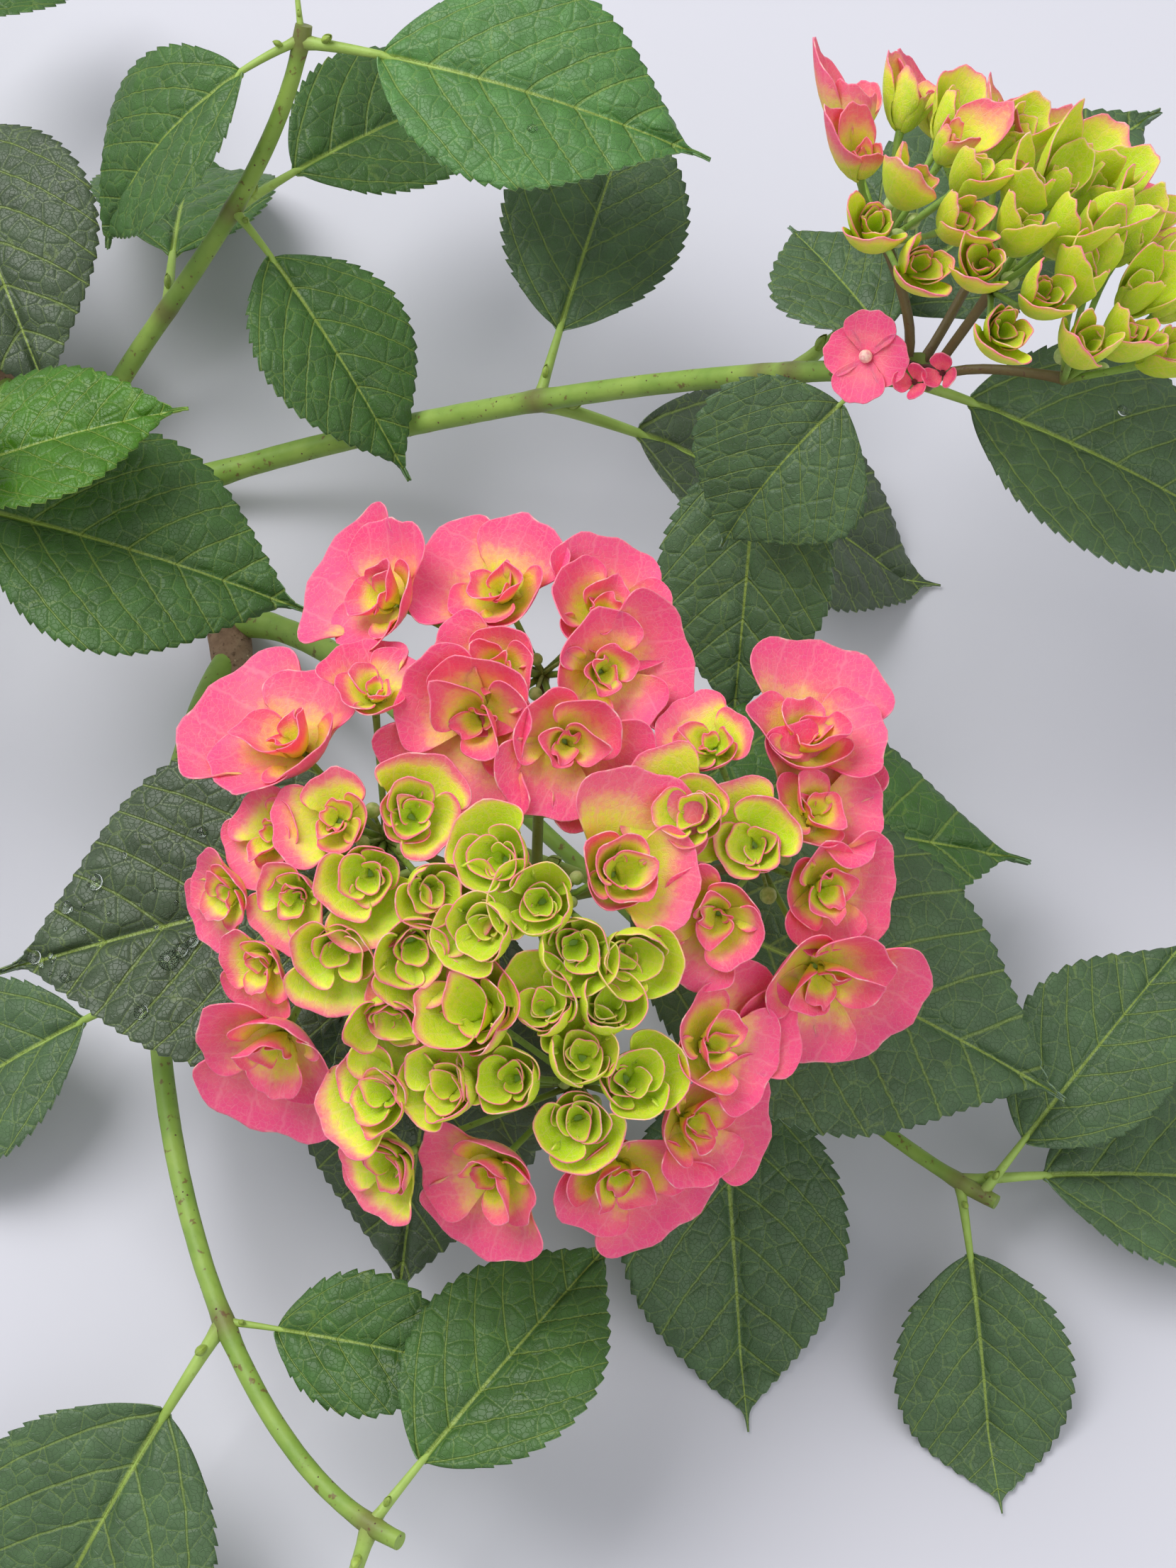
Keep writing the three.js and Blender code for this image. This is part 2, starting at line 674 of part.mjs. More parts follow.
// The knot that the rays part from.
function makeHub(frame) {
  const foot = frame.hub.clone().addScaledVector(frame.axis, HUB.foot);
  const top = frame.hub.clone().addScaledVector(frame.axis, HUB.height);
  return limb(new THREE.LineCurve3(foot, top), () => RAY.ring + RAY.radius, SHOOT_SIDES, 1, 0);
}

// The branch

const branch = new THREE.Group();
branch.name = "hydrangea_branch";
branch.position.set(-MIDDLE[0], -MIDDLE[1], LIFT);

const limbs = { stem: makeStem() };
branch.add(meshOf("woody_stem", limbs.stem.solid, LOOKS.bark));

for (const [name, spec] of Object.entries(SHOOTS)) {
  limbs[name] = makeShoot(spec, limbs[spec.on]);
  branch.add(meshOf(`shoot_${name}`, limbs[name].solid, LOOKS.shoot));
  LEAVES[name].forEach((row, i) => {
    const look = row[0] > YOUNG_FROM ? LOOKS.youngLeaf : LOOKS.leaf;
    branch.add(meshOf(`leaf_${name}_${i + 1}`, largest(makeLeaf(limbs[name], row)), look));
  });
}

for (const [name, head] of Object.entries(HEADS)) {
  const look = name === "main" ? LOOKS.mainFlorets : LOOKS.youngFlorets;
  branch.add(meshOf(`bloom_${name}`, makeBloom(head, limbs[head.shoot]), look));
}

export default branch;
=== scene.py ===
"""The looks of a flowering hydrangea branch, as cut, lying on a level surface.

The file is laid out as an add-on and run as a script. Places and sizes are in millimetres, in the plan
that the branch was laid out in, and become metres in the frame when a mesh is made. Angles in tables
are in degrees.
"""

import json
import math

import bpy
import numpy as np
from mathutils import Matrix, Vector

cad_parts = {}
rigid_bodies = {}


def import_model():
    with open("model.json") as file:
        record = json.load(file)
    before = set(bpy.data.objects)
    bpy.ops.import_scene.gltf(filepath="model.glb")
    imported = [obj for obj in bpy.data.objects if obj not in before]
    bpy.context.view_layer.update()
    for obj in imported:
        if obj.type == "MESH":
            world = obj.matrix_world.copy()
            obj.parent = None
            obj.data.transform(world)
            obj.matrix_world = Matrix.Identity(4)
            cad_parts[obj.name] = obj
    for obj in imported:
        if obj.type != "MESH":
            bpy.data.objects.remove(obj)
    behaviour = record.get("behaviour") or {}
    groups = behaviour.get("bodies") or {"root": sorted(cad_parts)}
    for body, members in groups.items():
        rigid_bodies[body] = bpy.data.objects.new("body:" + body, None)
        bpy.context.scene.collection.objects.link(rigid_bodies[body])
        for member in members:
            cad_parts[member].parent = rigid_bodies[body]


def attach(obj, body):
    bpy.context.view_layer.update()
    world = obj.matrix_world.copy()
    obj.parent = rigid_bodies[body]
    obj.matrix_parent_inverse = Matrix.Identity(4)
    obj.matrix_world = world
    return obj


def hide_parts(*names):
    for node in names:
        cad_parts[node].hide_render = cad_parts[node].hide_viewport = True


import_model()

bl_info = {
    "name": "Hydrangea Branch",
    "version": (1, 0, 0),
    "blender": (4, 5, 0),
    "location": "View3D > Sidebar > Hydrangea",
    "description": "Builds a cut flowering hydrangea branch round its frame",
    "category": "Add Mesh",
}

MM = 0.001
MIDDLE = (-41.07, 44.86)  # of the branch's footprint, in the plan
LIFT = 0.015
SHIFT = np.array([-MIDDLE[0], -MIDDLE[1], LIFT])
GOLDEN_ANGLE = math.radians(137.508)
BODY = "root"
NO_LENGTH = 1e-9

# The branch's layout, the same as its solids have

STEM = {
    "route": [(-212, 206), (-178, 191), (-142, 170), (-112, 142), (-96, 112), (-90, 84)],
    "cut_radius": 7.2,
    "stub_radius": 5.2,
    "sides": 10,
}
# Shoots: parent, how far up it, the way out, how far the shoot keeps to that way, the point that its
# last stretch comes from, its tip, and its radii.
SHOOTS = {
    "main_bloom": ("stem", 0.9, (0.9, -0.3, 0.5), 46, (-13, 12, 56), (-11, -12, 88), (3.3, 2.6)),
    "young_bloom": ("stem", 0.66, (0.9, 0.1, 0.35), 70, (30, 128, 84), (72, 99, 122), (3.1, 2.3)),
    "back": ("stem", 0.5, (0.35, 0.3, 0.6), 34, (-76, 182, 80), (-68, 206, 112), (2.8, 1.9)),
    "rear": ("stem", 0.26, (0.1, 0.7, 0.5), 22, (-178, 238, 30), (-180, 250, 58), (2.5, 1.8)),
    "left": ("stem", 0.36, (-0.5, -0.7, 0.45), 26, (-164, 112, 48), (-162, 98, 74), (2.6, 1.8)),
    "front": ("stem", 0.97, (-0.3, -0.8, 0.35), 76, (-92, -110, 30), (-38, -137, 52), (2.9, 1.9)),
    "right": ("main_bloom", 0.42, (0.8, -0.6, -0.1), 40, (50, -30, 12), (92, -58, 24), (2.1, 1.6)),
}
HUB_SWELL = 1.75
HUB_START = 0.9
FOOT_SWELL = 0.35
FOOT_END = 0.1
FOOT_DEPTH = 0.4

# Leaves: how far up the shoot, the tip, the midrib's bend, breadth over length, roll, and the tone.
LEAVES = {
    "main_bloom": [
        (0.84, (-130, -16, 58), 20, 0.78, -6, "shade"),
        (0.84, (106, -40, 42), 36, 0.66, 6, "mist"),
        (0.68, (-43, -80, 14), 36, 0.64, 8, "shade"),
        (0.72, (106, 26, 24), 30, 0.56, -4, "fresh"),
        (0.975, (-56, -42, 64), 16, 0.6, 0, "shade"),
    ],
    "young_bloom": [
        (0.95, (30, 76, 86), 56, 0.98, -24, "mist"),
        (0.95, (158, 78, 78), 28, 0.62, 4, "mist"),
        (0.84, (138, 190, 100), 24, 0.66, -8, "mist"),
        (0.8, (34, 50, 46), 40, 0.6, 10, "mist"),
        (0.5, (14, 224, 70), 20, 0.62, 6, "mist"),
        (0.5, (92, 116, -12), 44, 0.56, -6, "shade"),
        (0.985, (46, 146, 112), 20, 0.8, 0, "mist"),
    ],
    "back": [
        (0.6, (-18, 245, 48), 28, 0.6, 8, "fresh"),
        (0.6, (-45, 126, 36), 46, 0.62, -8, "fresh"),
        (0.97, (29, 172, 104), 24, 0.66, 10, "bright"),
        (0.97, (-122, 180, 60), 66, 0.72, 6, "fresh"),
        (0.99, (-74, 252, 138), 20, 0.5, 0, "young"),
        (0.32, (-112, 262, -12), 50, 0.6, 5, "fresh"),
    ],
    "rear": [
        (0.85, (-137, 148, 34), 44, 0.7, 8, "shade"),
        (0.85, (-254, 262, -14), 50, 0.64, -6, "fresh"),
        (0.97, (-140, 306, 34), 40, 0.62, 4, "fresh"),
        (0.97, (-214, 176, 44), 40, 0.6, -10, "shade"),
    ],
    "left": [
        (0.96, (-93, 114, 86), 24, 0.7, -6, "young"),
        (0.9, (-67, 80, 50), 24, 0.72, 6, "fresh"),
        (0.55, (-246, 66, -14), 44, 0.62, 4, "shade"),
        (0.96, (-204, 44, 60), 40, 0.6, -6, "shade"),
        (0.99, (-134, 104, 102), 20, 0.7, 0, "young"),
    ],
    "front": [
        (0.97, (6, -72, 46), 24, 0.64, -8, "fresh"),
        (0.97, (-72, -216, -14), 44, 0.62, 6, "fresh"),
        (0.74, (-20, -101, 44), 26, 0.62, 8, "fresh"),
        (0.74, (-130, -172, -6), 40, 0.7, -4, "mist"),
        (0.4, (-176, -38, -14), 36, 0.62, 6, "mist"),
    ],
    "right": [
        (0.55, (36, -104, -10), 44, 0.62, -6, "mist"),
        (0.95, (92, -122, -14), 40, 0.62, 6, "mist"),
        (0.95, (172, -44, -14), 44, 0.62, -6, "mist"),
        (0.98, (138, 0, 42), 34, 0.6, 4, "mist"),
    ],
}
LEAF = {
    "widest": 0.42,  # where along the blade
    "stalk_share": 0.24,  # length of the stalk over the blade's
    "stalk_radius": 1.5,
    "usual_blade": 85,  # length that the radius and the thickness are for
    "thickness": 1.2,
    "fold": math.radians(13),  # how steeply its halves rise from the midrib
    "arch": 0.55,  # how much they level out
    "tip_width": 0.014,
    "sizes": (0.5, 1.2),  # the least and the greatest, over the usual blade
    "slimmest": 1 / 90,
    "stalk_top": 0.7,  # radius over the foot's
    "roundness": 0.7,  # of the blade's foot
    "drawn_out": 0.8,  # how drawn out its tip is
}
REST_HEIGHT = 3  # below it, a blade comes down to the floor without passing it

# Flower heads: places are a clock angle and a reach round the head's axis. The third number is the gap
# between a ray's florets and the next ray's, or the width of an open floret.
HEADS = {
    "main": {
        "shoot": "main_bloom",
        "axis": (0, -0.4, 0.92),
        "crown": 47,  # height of the dome over the hub
        "droop": 25,  # how much lower its rim is
        "reach": 72,
        "stretch": 1,  # height of its sepals over the usual
        "openness": 1,
        "ripeness": 1,
        "softness": 1,  # of the edge of its pink
        "hood": 0,  # how much longer its outward sepals are, at least
        "fullness": 1,
        "pointed": (0.15, 0.15),  # how pointed its sepals are, and how much that differs
        "ray_red": (0.35, 0.55),  # how red its rays are, and how much redder their tips
        "packing": 0.385,  # how near two florets may stand, over the sum of their widths
        "rays": [(0, 5, 0), (157, 33, 0), (88, 47, 1), (-76, 38, 0), (10, 47, 9)],
        "ray_names": ["middle", "left", "top", "lower", "right"],
        "heart": (-75, 18),  # where its youngest florets are
        "old_reach": 62,  # how far from the heart florets are old
        "youngest": 11.5,  # width of a floret at the heart
        "widening": 0.1,  # and how it grows outwards
        "open": [
            (118, 72, 30), (145, 62, 33), (212, 62, 32), (242, 24, 24), (260, 57, 28), (-72, 60, 30),
            (-52, 56, 25), (-36, 47, 27), (-17, 62, 32), (2, 60, 24), (33, 67, 31), (19, 61, 26),
            (76, 61, 26), (71, 48, 27), (97, 66, 28), (110, 37, 33), (76, 31, 27), (18, 19, 23),
            (100, 47, 22), (-6, 36, 22),
        ],
    },
    "young": {
        "shoot": "young_bloom",
        "axis": (0.44, 0.27, 0.85),
        "crown": 50,
        "droop": 17,
        "reach": 45,
        "stretch": 2.1,
        "openness": 0.45,
        "ripeness": 0.56,
        "softness": 1.15,
        "hood": 0.4,
        "fullness": 0.93,
        "pointed": (0.5, 0),
        "ray_red": (0.8, 0),
        "packing": 0.56,
        "rays": [(0, 3, 0), (150, 22, 1), (65, 24, 0), (-35, 26, 1)],
        "ray_names": ["middle", "left", "back", "right"],
        "heart": (-60, 12),
        "old_reach": 58,
        "youngest": 8.2,
        "widening": 0.04,
        "open": [
            (168, 37, 12), (138, 42, 12.5), (100, 41, 12), (150, 22, 10.5), (82, 21, 11.5),
            (38, 39, 12.5), (-4, 40, 11.5),
        ],
    },
}
CANDIDATES = 700
EDGE_SHARE = 0.4  # how much of a closed floret's width has to fit inside its head's reach
LEAST_AGE = 0.05
OPEN_LEAD = 0.3  # how much older the widest florets are than their place says
CLOSED_LEAD = -0.08  # and the smaller ones
FLORET = {
    "wall": 0.8,
    "shut_angle": math.radians(-24),
    "open_angle": math.radians(52),
    "outer_age": 0.22,  # how much older its outward side is
    "outer_length": 0.12,  # and how much longer
    "turns": 40,  # degrees that it may be turned round
    "depth": 0.3,
    "upright": 1.6,  # how far its axis follows its stalk
    "sway": 0.18,
    "stalk_foot": -0.8,  # height of the stalks' foot over the junction
    "stalk_sunk": 0.7,  # how far into the wall a stalk goes
}
RAY = {"radius": 1.25, "ring": 3.1, "foot": -2, "rise": 9, "below": 25}

# The camera: how it looks at the branch in the photograph

VIEW = {
    "target": (0, 0, 120),
    "elevation": 64,
    "distance": 520,
    "half_height": 158,  # what the view takes in at the target, above its middle
}


# Numbers and vectors

# What a draw of chance is for. The numbers only keep one draw apart from another.
DRAWS = {
    "turn": 2,
    "azimuth": 3,
    "lean": 4,
    "length": 5,
    "width": 6,
    "point": 7,
    "ripeness": 8,
    "blush": 9,
    "ground": 10,
    "sway_right": 21,
    "sway_up": 22,
    "first_pink": 31,
    "drop_along": 41,
    "drop_across": 42,
    "drop_size": 43,
}
SCRAMBLE = (12.9898, 78.233, 43758.5453)


def chance(i, draw):
    """A repeatable number from 0 to 1 for each whole number and draw."""
    a, b, c = SCRAMBLE
    x = math.sin(i * a + DRAWS.get(draw, draw) * b) * c
    return x - math.floor(x)


def swing(i, draw, amount):
    """The same, from minus to plus the amount."""
    return (chance(i, draw) * 2 - 1) * amount


def mix(a, b, t):
    return a + (b - a) * t


def clamp(x, low, high):
    return min(high, max(low, x))


def smooth(low, high, x):
    """0 below low, 1 above high, and a smooth step between."""
    t = np.clip((np.asarray(x, float) - low) / (high - low), 0, 1)
    return t * t * (3 - 2 * t)


def bell(x, width):
    """1 where x is 0, and soon nothing beyond the width."""
    return np.exp(-((x / width) ** 2))


def unit(v):
    v = np.asarray(v, float)
    return v / np.linalg.norm(v, axis=-1, keepdims=True)


def turned(a, b, angle):
    """The way that lies at an angle from a towards b."""
    return a * math.cos(angle) + b * math.sin(angle)


def flat(place):
    """The plan place of a clock angle and a reach."""
    angle = math.radians(place[0])
    return np.array([math.cos(angle), math.sin(angle)]) * place[1]


def linear(code):
    """The linear colour of a web colour code."""
    channels = [int(code[i : i + 2], 16) / 255 for i in (1, 3, 5)]
    return tuple(c / 12.92 if c <= 0.04045 else ((c + 0.055) / 1.055) ** 2.4 for c in channels)


def channels_of(colour):
    """The three linear channels of a colour or of a web colour code."""
    return linear(colour) if isinstance(colour, str) else tuple(colour[:3])


def shaded(colour, share):
    """A colour at a share of its brightness."""
    return tuple(c * share for c in channels_of(colour))


# Routes and limbs

ARC_STEPS = 200
TINY = 0.0001


class Route:
    """A curve whose places are shares of its length, with a radius where it is a limb."""

    def __init__(self, raw, radius_at=None):
        self.raw = raw
        self.radius_at = radius_at
        self.steps = np.linspace(0, 1, ARC_STEPS + 1)
        spans = np.linalg.norm(np.diff(raw(self.steps), axis=0), axis=1)
        self.far = np.concatenate([[0], np.cumsum(spans)])
        self.length = self.far[-1]

    def step_at(self, share):
        return np.interp(np.atleast_1d(share) * self.length, self.far, self.steps)

    def at(self, share):
        points = self.raw(self.step_at(share))
        return points if np.ndim(share) else points[0]

    def along(self, share):
        t = self.step_at(share)
        way = unit(self.raw(np.clip(t + TINY, 0, 1)) - self.raw(np.clip(t - TINY, 0, 1)))
        return way if np.ndim(share) else way[0]


def spline_through(points):
    """A centripetal spline through points, as a function of 0 to 1."""
    points = np.array(points, float)
    last = len(points) - 1

    def one(t):
        place = last * t
        i = min(int(place), last - 1)
        w = place - i
        p1, p2 = points[i], points[i + 1]
        p0 = points[i - 1] if i > 0 else 2 * p1 - p2
        p3 = points[i + 2] if i + 2 <= last else 2 * p2 - p1
        d0, d1, d2 = (np.linalg.norm(b - a) ** 0.5 for a, b in ((p0, p1), (p1, p2), (p2, p3)))
        m1 = ((p1 - p0) / d0 - (p2 - p0) / (d0 + d1) + (p2 - p1) / d1) * d1
        m2 = ((p2 - p1) / d1 - (p3 - p1) / (d1 + d2) + (p3 - p2) / d2) * d1
        return (
            p1
            + m1 * w
            + (-3 * p1 + 3 * p2 - 2 * m1 - m2) * w**2
            + (2 * p1 - 2 * p2 + m1 + m2) * w**3
        )

    return lambda ts: np.array([one(t) for t in ts])


def bezier(*points):
    """A quadratic or cubic curve, as a function of 0 to 1."""
    points = np.array(points, float)
    order = len(points) - 1

    def raw(ts):
        t = np.asarray(ts, float)[:, None]
        return sum(math.comb(order, k) * (1 - t) ** (order - k) * t**k * p for k, p in enumerate(points))

    return raw


def foot_on(parent, at, way):
    """Where a limb sets out from, inside its parent."""
    along = parent.along(at)
    out = unit(way - along * np.dot(way, along))
    return parent.at(at) + out * parent.radius_at(at) * FOOT_DEPTH


def make_stem():
    flat_foot = math.cos(math.pi / STEM["sides"])
    last = len(STEM["route"]) - 1

    def radius_at(t):
        return mix(STEM["cut_radius"], STEM["stub_radius"], t)

    points = [(x, y, radius_at(i / last) * flat_foot) for i, (x, y) in enumerate(STEM["route"])]
    return Route(spline_through(points), radius_at)


def make_shoot(name, parent):
    _, at, out, reach, origin, tip, (foot_radius, tip_radius) = SHOOTS[name]
    way = unit(out)
    foot = foot_on(parent, at, way)
    swell = HUB_SWELL - 1 if any(head["shoot"] == name for head in HEADS.values()) else 0

    def radius_at(t):
        base = mix(foot_radius, tip_radius, t)
        low = FOOT_SWELL * np.maximum(0, 1 - np.asarray(t) / FOOT_END)
        high = swell * np.maximum(0, (np.asarray(t) - HUB_START) / (1 - HUB_START))
        return base * (1 + low) * (1 + high)

    return Route(bezier(foot, foot + way * reach, origin, tip), radius_at)


def make_limbs():
    limbs = {"stem": make_stem()}
    for name, row in SHOOTS.items():
        limbs[name] = make_shoot(name, limbs[row[0]])
    return limbs


LIMBS = make_limbs()

# Leaves

VEINS = {
    "count": 6.8,  # side veins over the blade's length, on each side
    "slope": 0.75,  # how far up the blade a side vein runs for each step outwards
    "curve": 1.3,  # and how that grows
}


class Midrib:
    """An arc in an upright plane, from a foot to a tip, that bends down."""

    def __init__(self, foot, tip, bend):
        across = tip - foot
        chord = np.linalg.norm(across)
        self.foot = foot
        self.bend = bend
        self.azimuth = math.atan2(across[1], across[0])
        self.rise = math.asin(across[2] / chord) + bend / 2
        self.length = chord * (bend / 2) / math.sin(bend / 2)

    def way(self, out, high):
        """So far out and so high, in the arc's plane."""
        return np.stack([math.cos(self.azimuth) * out, math.sin(self.azimuth) * out, high], axis=-1)

    def at(self, s):
        slant = self.rise - self.bend * s
        out = (math.sin(self.rise) - np.sin(slant)) / self.bend * self.length
        high = (np.cos(slant) - math.cos(self.rise)) / self.bend * self.length
        return self.foot + self.way(out, high)

    def along(self, s):
        slant = self.rise - self.bend * np.asarray(s, float)
        return self.way(np.cos(slant), np.sin(slant))


class Leaf:
    """A leaf's stalk and blade, worked out from its row of LEAVES."""

    def __init__(self, shoot, row, number):
        at, tip, bend, self.breadth, roll, self.tone = row
        tip = np.array(tip, float)
        bend = math.radians(bend)
        set_out = Midrib(shoot.at(at), tip, bend).along(0)
        self.line = Midrib(foot_on(shoot, at, set_out), tip, bend)
        self.blade = self.line.length / (1 + LEAF["stalk_share"])
        self.stalk = self.line.length - self.blade
        size = clamp(self.blade / LEAF["usual_blade"], *LEAF["sizes"])
        self.radius = LEAF["stalk_radius"] * size
        self.thickness = max(LEAF["thickness"] * size, self.blade * LEAF["slimmest"])
        self.roll = math.radians(roll)
        self.number = number

    def half(self, x):
        """Half the blade's width at x along it."""
        x = np.asarray(x, float)
        widest = LEAF["widest"]
        below = np.maximum(0, 1 - (np.maximum(widest - x, 0) / widest) ** 2) ** LEAF["roundness"]
        y = np.clip((x - widest) / (1 - widest), 0, 1)
        above = np.maximum(0, np.cos(y * math.pi / 2)) ** (1 + LEAF["drawn_out"] * y)
        share = np.where(x < widest, below, above)
        return np.maximum(self.blade * self.breadth * share / 2, self.blade * LEAF["tip_width"])

    def frame_at(self, x):
        """The midrib's place, the side and the normal at x along the blade."""
        s = (self.stalk + self.blade * np.asarray(x, float)) / self.line.length
        along = self.line.along(s)
        level = np.array([-math.sin(self.line.azimuth), math.cos(self.line.azimuth), 0])
        side = level * math.cos(self.roll) + np.cross(along, level) * math.sin(self.roll)
        return self.line.at(s), side, np.cross(along, side)

    def surface(self, x, out, half):
        """Points of the blade's middle surface: x along it and out across it, in millimetres."""
        centre, side, normal = self.frame_at(x)
        q = np.clip(np.abs(out) / half, 0, 1)
        lift = (q - LEAF["arch"] * q * q) * math.sin(LEAF["fold"]) * half + self.thickness / 2
        points = centre + side * (out * math.cos(LEAF["fold"]))[..., None] + normal * lift[..., None]
        high = points[..., 2] - self.thickness / 2
        low = np.exp(np.minimum(high, REST_HEIGHT) / REST_HEIGHT - 1) * REST_HEIGHT
        points[..., 2] = np.where(high < REST_HEIGHT, low, high) + self.thickness / 2
        return points


def make_leaves():
    """Every leaf, under its CAD node's name."""
    leaves = {}
    for shoot, rows in LEAVES.items():
        for i, row in enumerate(rows):
            leaves[f"leaf_{shoot}_{i + 1}"] = Leaf(LIMBS[shoot], row, len(leaves))
    return leaves


BLADES = make_leaves()

# Flower heads


class Head:
    """A flower head's frame, and its florets as the solids plan them."""

    def __init__(self, name):
        self.name = name
        self.spec = HEADS[name]
        self.hub = LIMBS[self.spec["shoot"]].at(1.0)
        self.axis = unit(self.spec["axis"])
        self.right = unit(np.cross((0, 1, 0), self.axis))
        self.up = np.cross(self.axis, self.right)
        self.florets = self.plan()

    def on_dome(self, place, below=0):
        out = np.hypot(*place) / self.spec["reach"]
        high = self.spec["crown"] - self.spec["droop"] * out * out - below
        return self.hub + self.right * place[0] + self.up * place[1] + self.axis * high

    def ray_of(self, place):
        """The ray nearest to a place, and whether the place is clear of the gap to the next."""
        rays = enumerate(self.spec["rays"])
        far = sorted((np.linalg.norm(flat(ray) - place), k, ray[2]) for k, ray in rays)
        return far[0][1], far[1][0] - far[0][0] > max(far[0][2], far[1][2])

    def plan(self):
        spec = self.spec
        heart = flat(spec["heart"])
        florets = []

        def add(place, width, ray, lead):
            age = clamp(np.linalg.norm(place - heart) / spec["old_reach"] + lead, LEAST_AGE, 1)
            florets.append({"place": place, "width": width, "ray": ray, "age": age, "number": len(florets)})

        for clock, reach, width in spec["open"]:
            place = flat((clock, reach))
            add(place, width, self.ray_of(place)[0], OPEN_LEAD)
        for i in range(CANDIDATES):
            reach = spec["reach"] * math.sqrt((i + 0.5) / CANDIDATES)
            angle = i * GOLDEN_ANGLE
            place = np.array([math.cos(angle), math.sin(angle)]) * reach
            width = spec["youngest"] + spec["widening"] * np.linalg.norm(place - heart)
            ray, parted = self.ray_of(place)
            if not parted or reach + width * EDGE_SHARE > spec["reach"]:
                continue
            crowded = any(
                np.linalg.norm(f["place"] - place) < (f["width"] + width) * spec["packing"] for f in florets
            )
            if not crowded:
                add(place, width, ray, CLOSED_LEAD)
        return florets

    def junction(self, ray):
        return self.on_dome(flat(self.spec["rays"][ray]), RAY["below"])

    def ray_route(self, ray):
        """The line of a ray, from the hub to its junction."""
        x, y = flat(self.spec["rays"][ray])
        ringed = RAY["ring"] / math.hypot(x, y)
        foot = self.hub + self.right * x * ringed + self.up * y * ringed + self.axis * RAY["foot"]
        return Route(bezier(foot, foot + self.axis * RAY["rise"], self.junction(ray)))

    def stand(self, floret):
        """A floret's foot, its axis, and the way that its outer side faces."""
        top = self.on_dome(floret["place"])
        outward = top - self.junction(floret["ray"])
        n = floret["number"]
        sway = self.right * swing(n, "sway_right", FLORET["sway"])
        sway = sway + self.up * swing(n, "sway_up", FLORET["sway"])
        axis = unit(unit(outward) * FLORET["upright"] + self.axis + sway)
        base = top - axis * floret["width"] * FLORET["depth"]
        return base, axis, unit(outward - axis * np.dot(outward, axis))


BLOOMS = {name: Head(name) for name in HEADS}

# Meshes


def own_mesh(name, mesh, materials=()):
    """An object of that name at the origin, with its materials."""
    for material in materials:
        mesh.materials.append(material)
    piece = bpy.data.objects.new(name, mesh)
    bpy.context.scene.collection.objects.link(piece)
    return piece


def place_in_frame(points):
    """Plan millimetres to metres in the frame."""
    return (np.asarray(points, float).reshape(-1, 3) + SHIFT) * MM


def set_values(mesh, values):
    """Gives a mesh's points their named numbers or vectors."""
    for key, rows in values.items():
        rows = np.asarray(rows, np.float32)
        kind, field = ("FLOAT", "value") if rows.ndim == 1 else ("FLOAT_VECTOR", "vector")
        mesh.attributes.new(key, kind, "POINT").data.foreach_set(field, rows.ravel())


class Sheets:
    """Thin closed shells, gathered into one mesh."""

    def __init__(self):
        self.points = []
        self.faces = []
        self.slots = []
        self.uv = []
        self.values = {}
        self.count = 0

    def add(self, top, thickness, uv, slots=(0, 0), **values):
        """Adds a grid of points as a shell that thick, whose rows run along and columns across."""
        rows, columns = top.shape[:2]
        bottom = top - surface_normal(top) * np.asarray(thickness, float).reshape(-1, 1, 1)
        a = np.arange(rows * columns).reshape(rows, columns) + self.count
        b = a + rows * columns
        upper = np.stack([a[:-1, :-1], a[1:, :-1], a[1:, 1:], a[:-1, 1:]], -1).reshape(-1, 4)
        lower = np.stack([b[:-1, :-1], b[:-1, 1:], b[1:, 1:], b[1:, :-1]], -1).reshape(-1, 4)
        rims = [
            np.stack([a[:-1, 0], b[:-1, 0], b[1:, 0], a[1:, 0]], -1),
            np.stack([a[1:, -1], b[1:, -1], b[:-1, -1], a[:-1, -1]], -1),
            np.stack([a[0, 1:], b[0, 1:], b[0, :-1], a[0, :-1]], -1),
            np.stack([a[-1, :-1], b[-1, :-1], b[-1, 1:], a[-1, 1:]], -1),
        ]
        faces = np.concatenate([upper, lower, *rims])
        self.points += [top.reshape(-1, 3), bottom.reshape(-1, 3)]
        self.faces.append(faces)
        self.slots.append(np.where(np.arange(len(faces)) < len(upper), slots[0], slots[1]))
        self.uv += [uv.reshape(-1, 2)] * 2
        for key, value in values.items():
            spread = np.broadcast_to(value, (rows, columns)).ravel()
            self.values.setdefault(key, []).extend([spread, spread])
        self.count += 2 * rows * columns

    def make(self, name, materials):
        """The mesh object of all that was added."""
        faces = np.concatenate(self.faces)
        mesh = bpy.data.meshes.new(name)
        mesh.from_pydata(place_in_frame(np.concatenate(self.points)).tolist(), [], faces.tolist())
        mesh.polygons.foreach_set("material_index", np.concatenate(self.slots).astype(np.int32))
        layer = mesh.uv_layers.new(name="UVMap")
        layer.data.foreach_set("uv", np.concatenate(self.uv)[faces.ravel()].astype(np.float32).ravel())
        set_values(mesh, {key: np.concatenate(parts) for key, parts in self.values.items()})
        mesh.shade_smooth()
        return own_mesh(name, mesh, materials)


def surface_normal(grid):
    """The normal at each point of a grid."""
    normal = np.cross(np.gradient(grid, axis=0), np.gradient(grid, axis=1))
    return normal / np.maximum(np.linalg.norm(normal, axis=2, keepdims=True), NO_LENGTH)


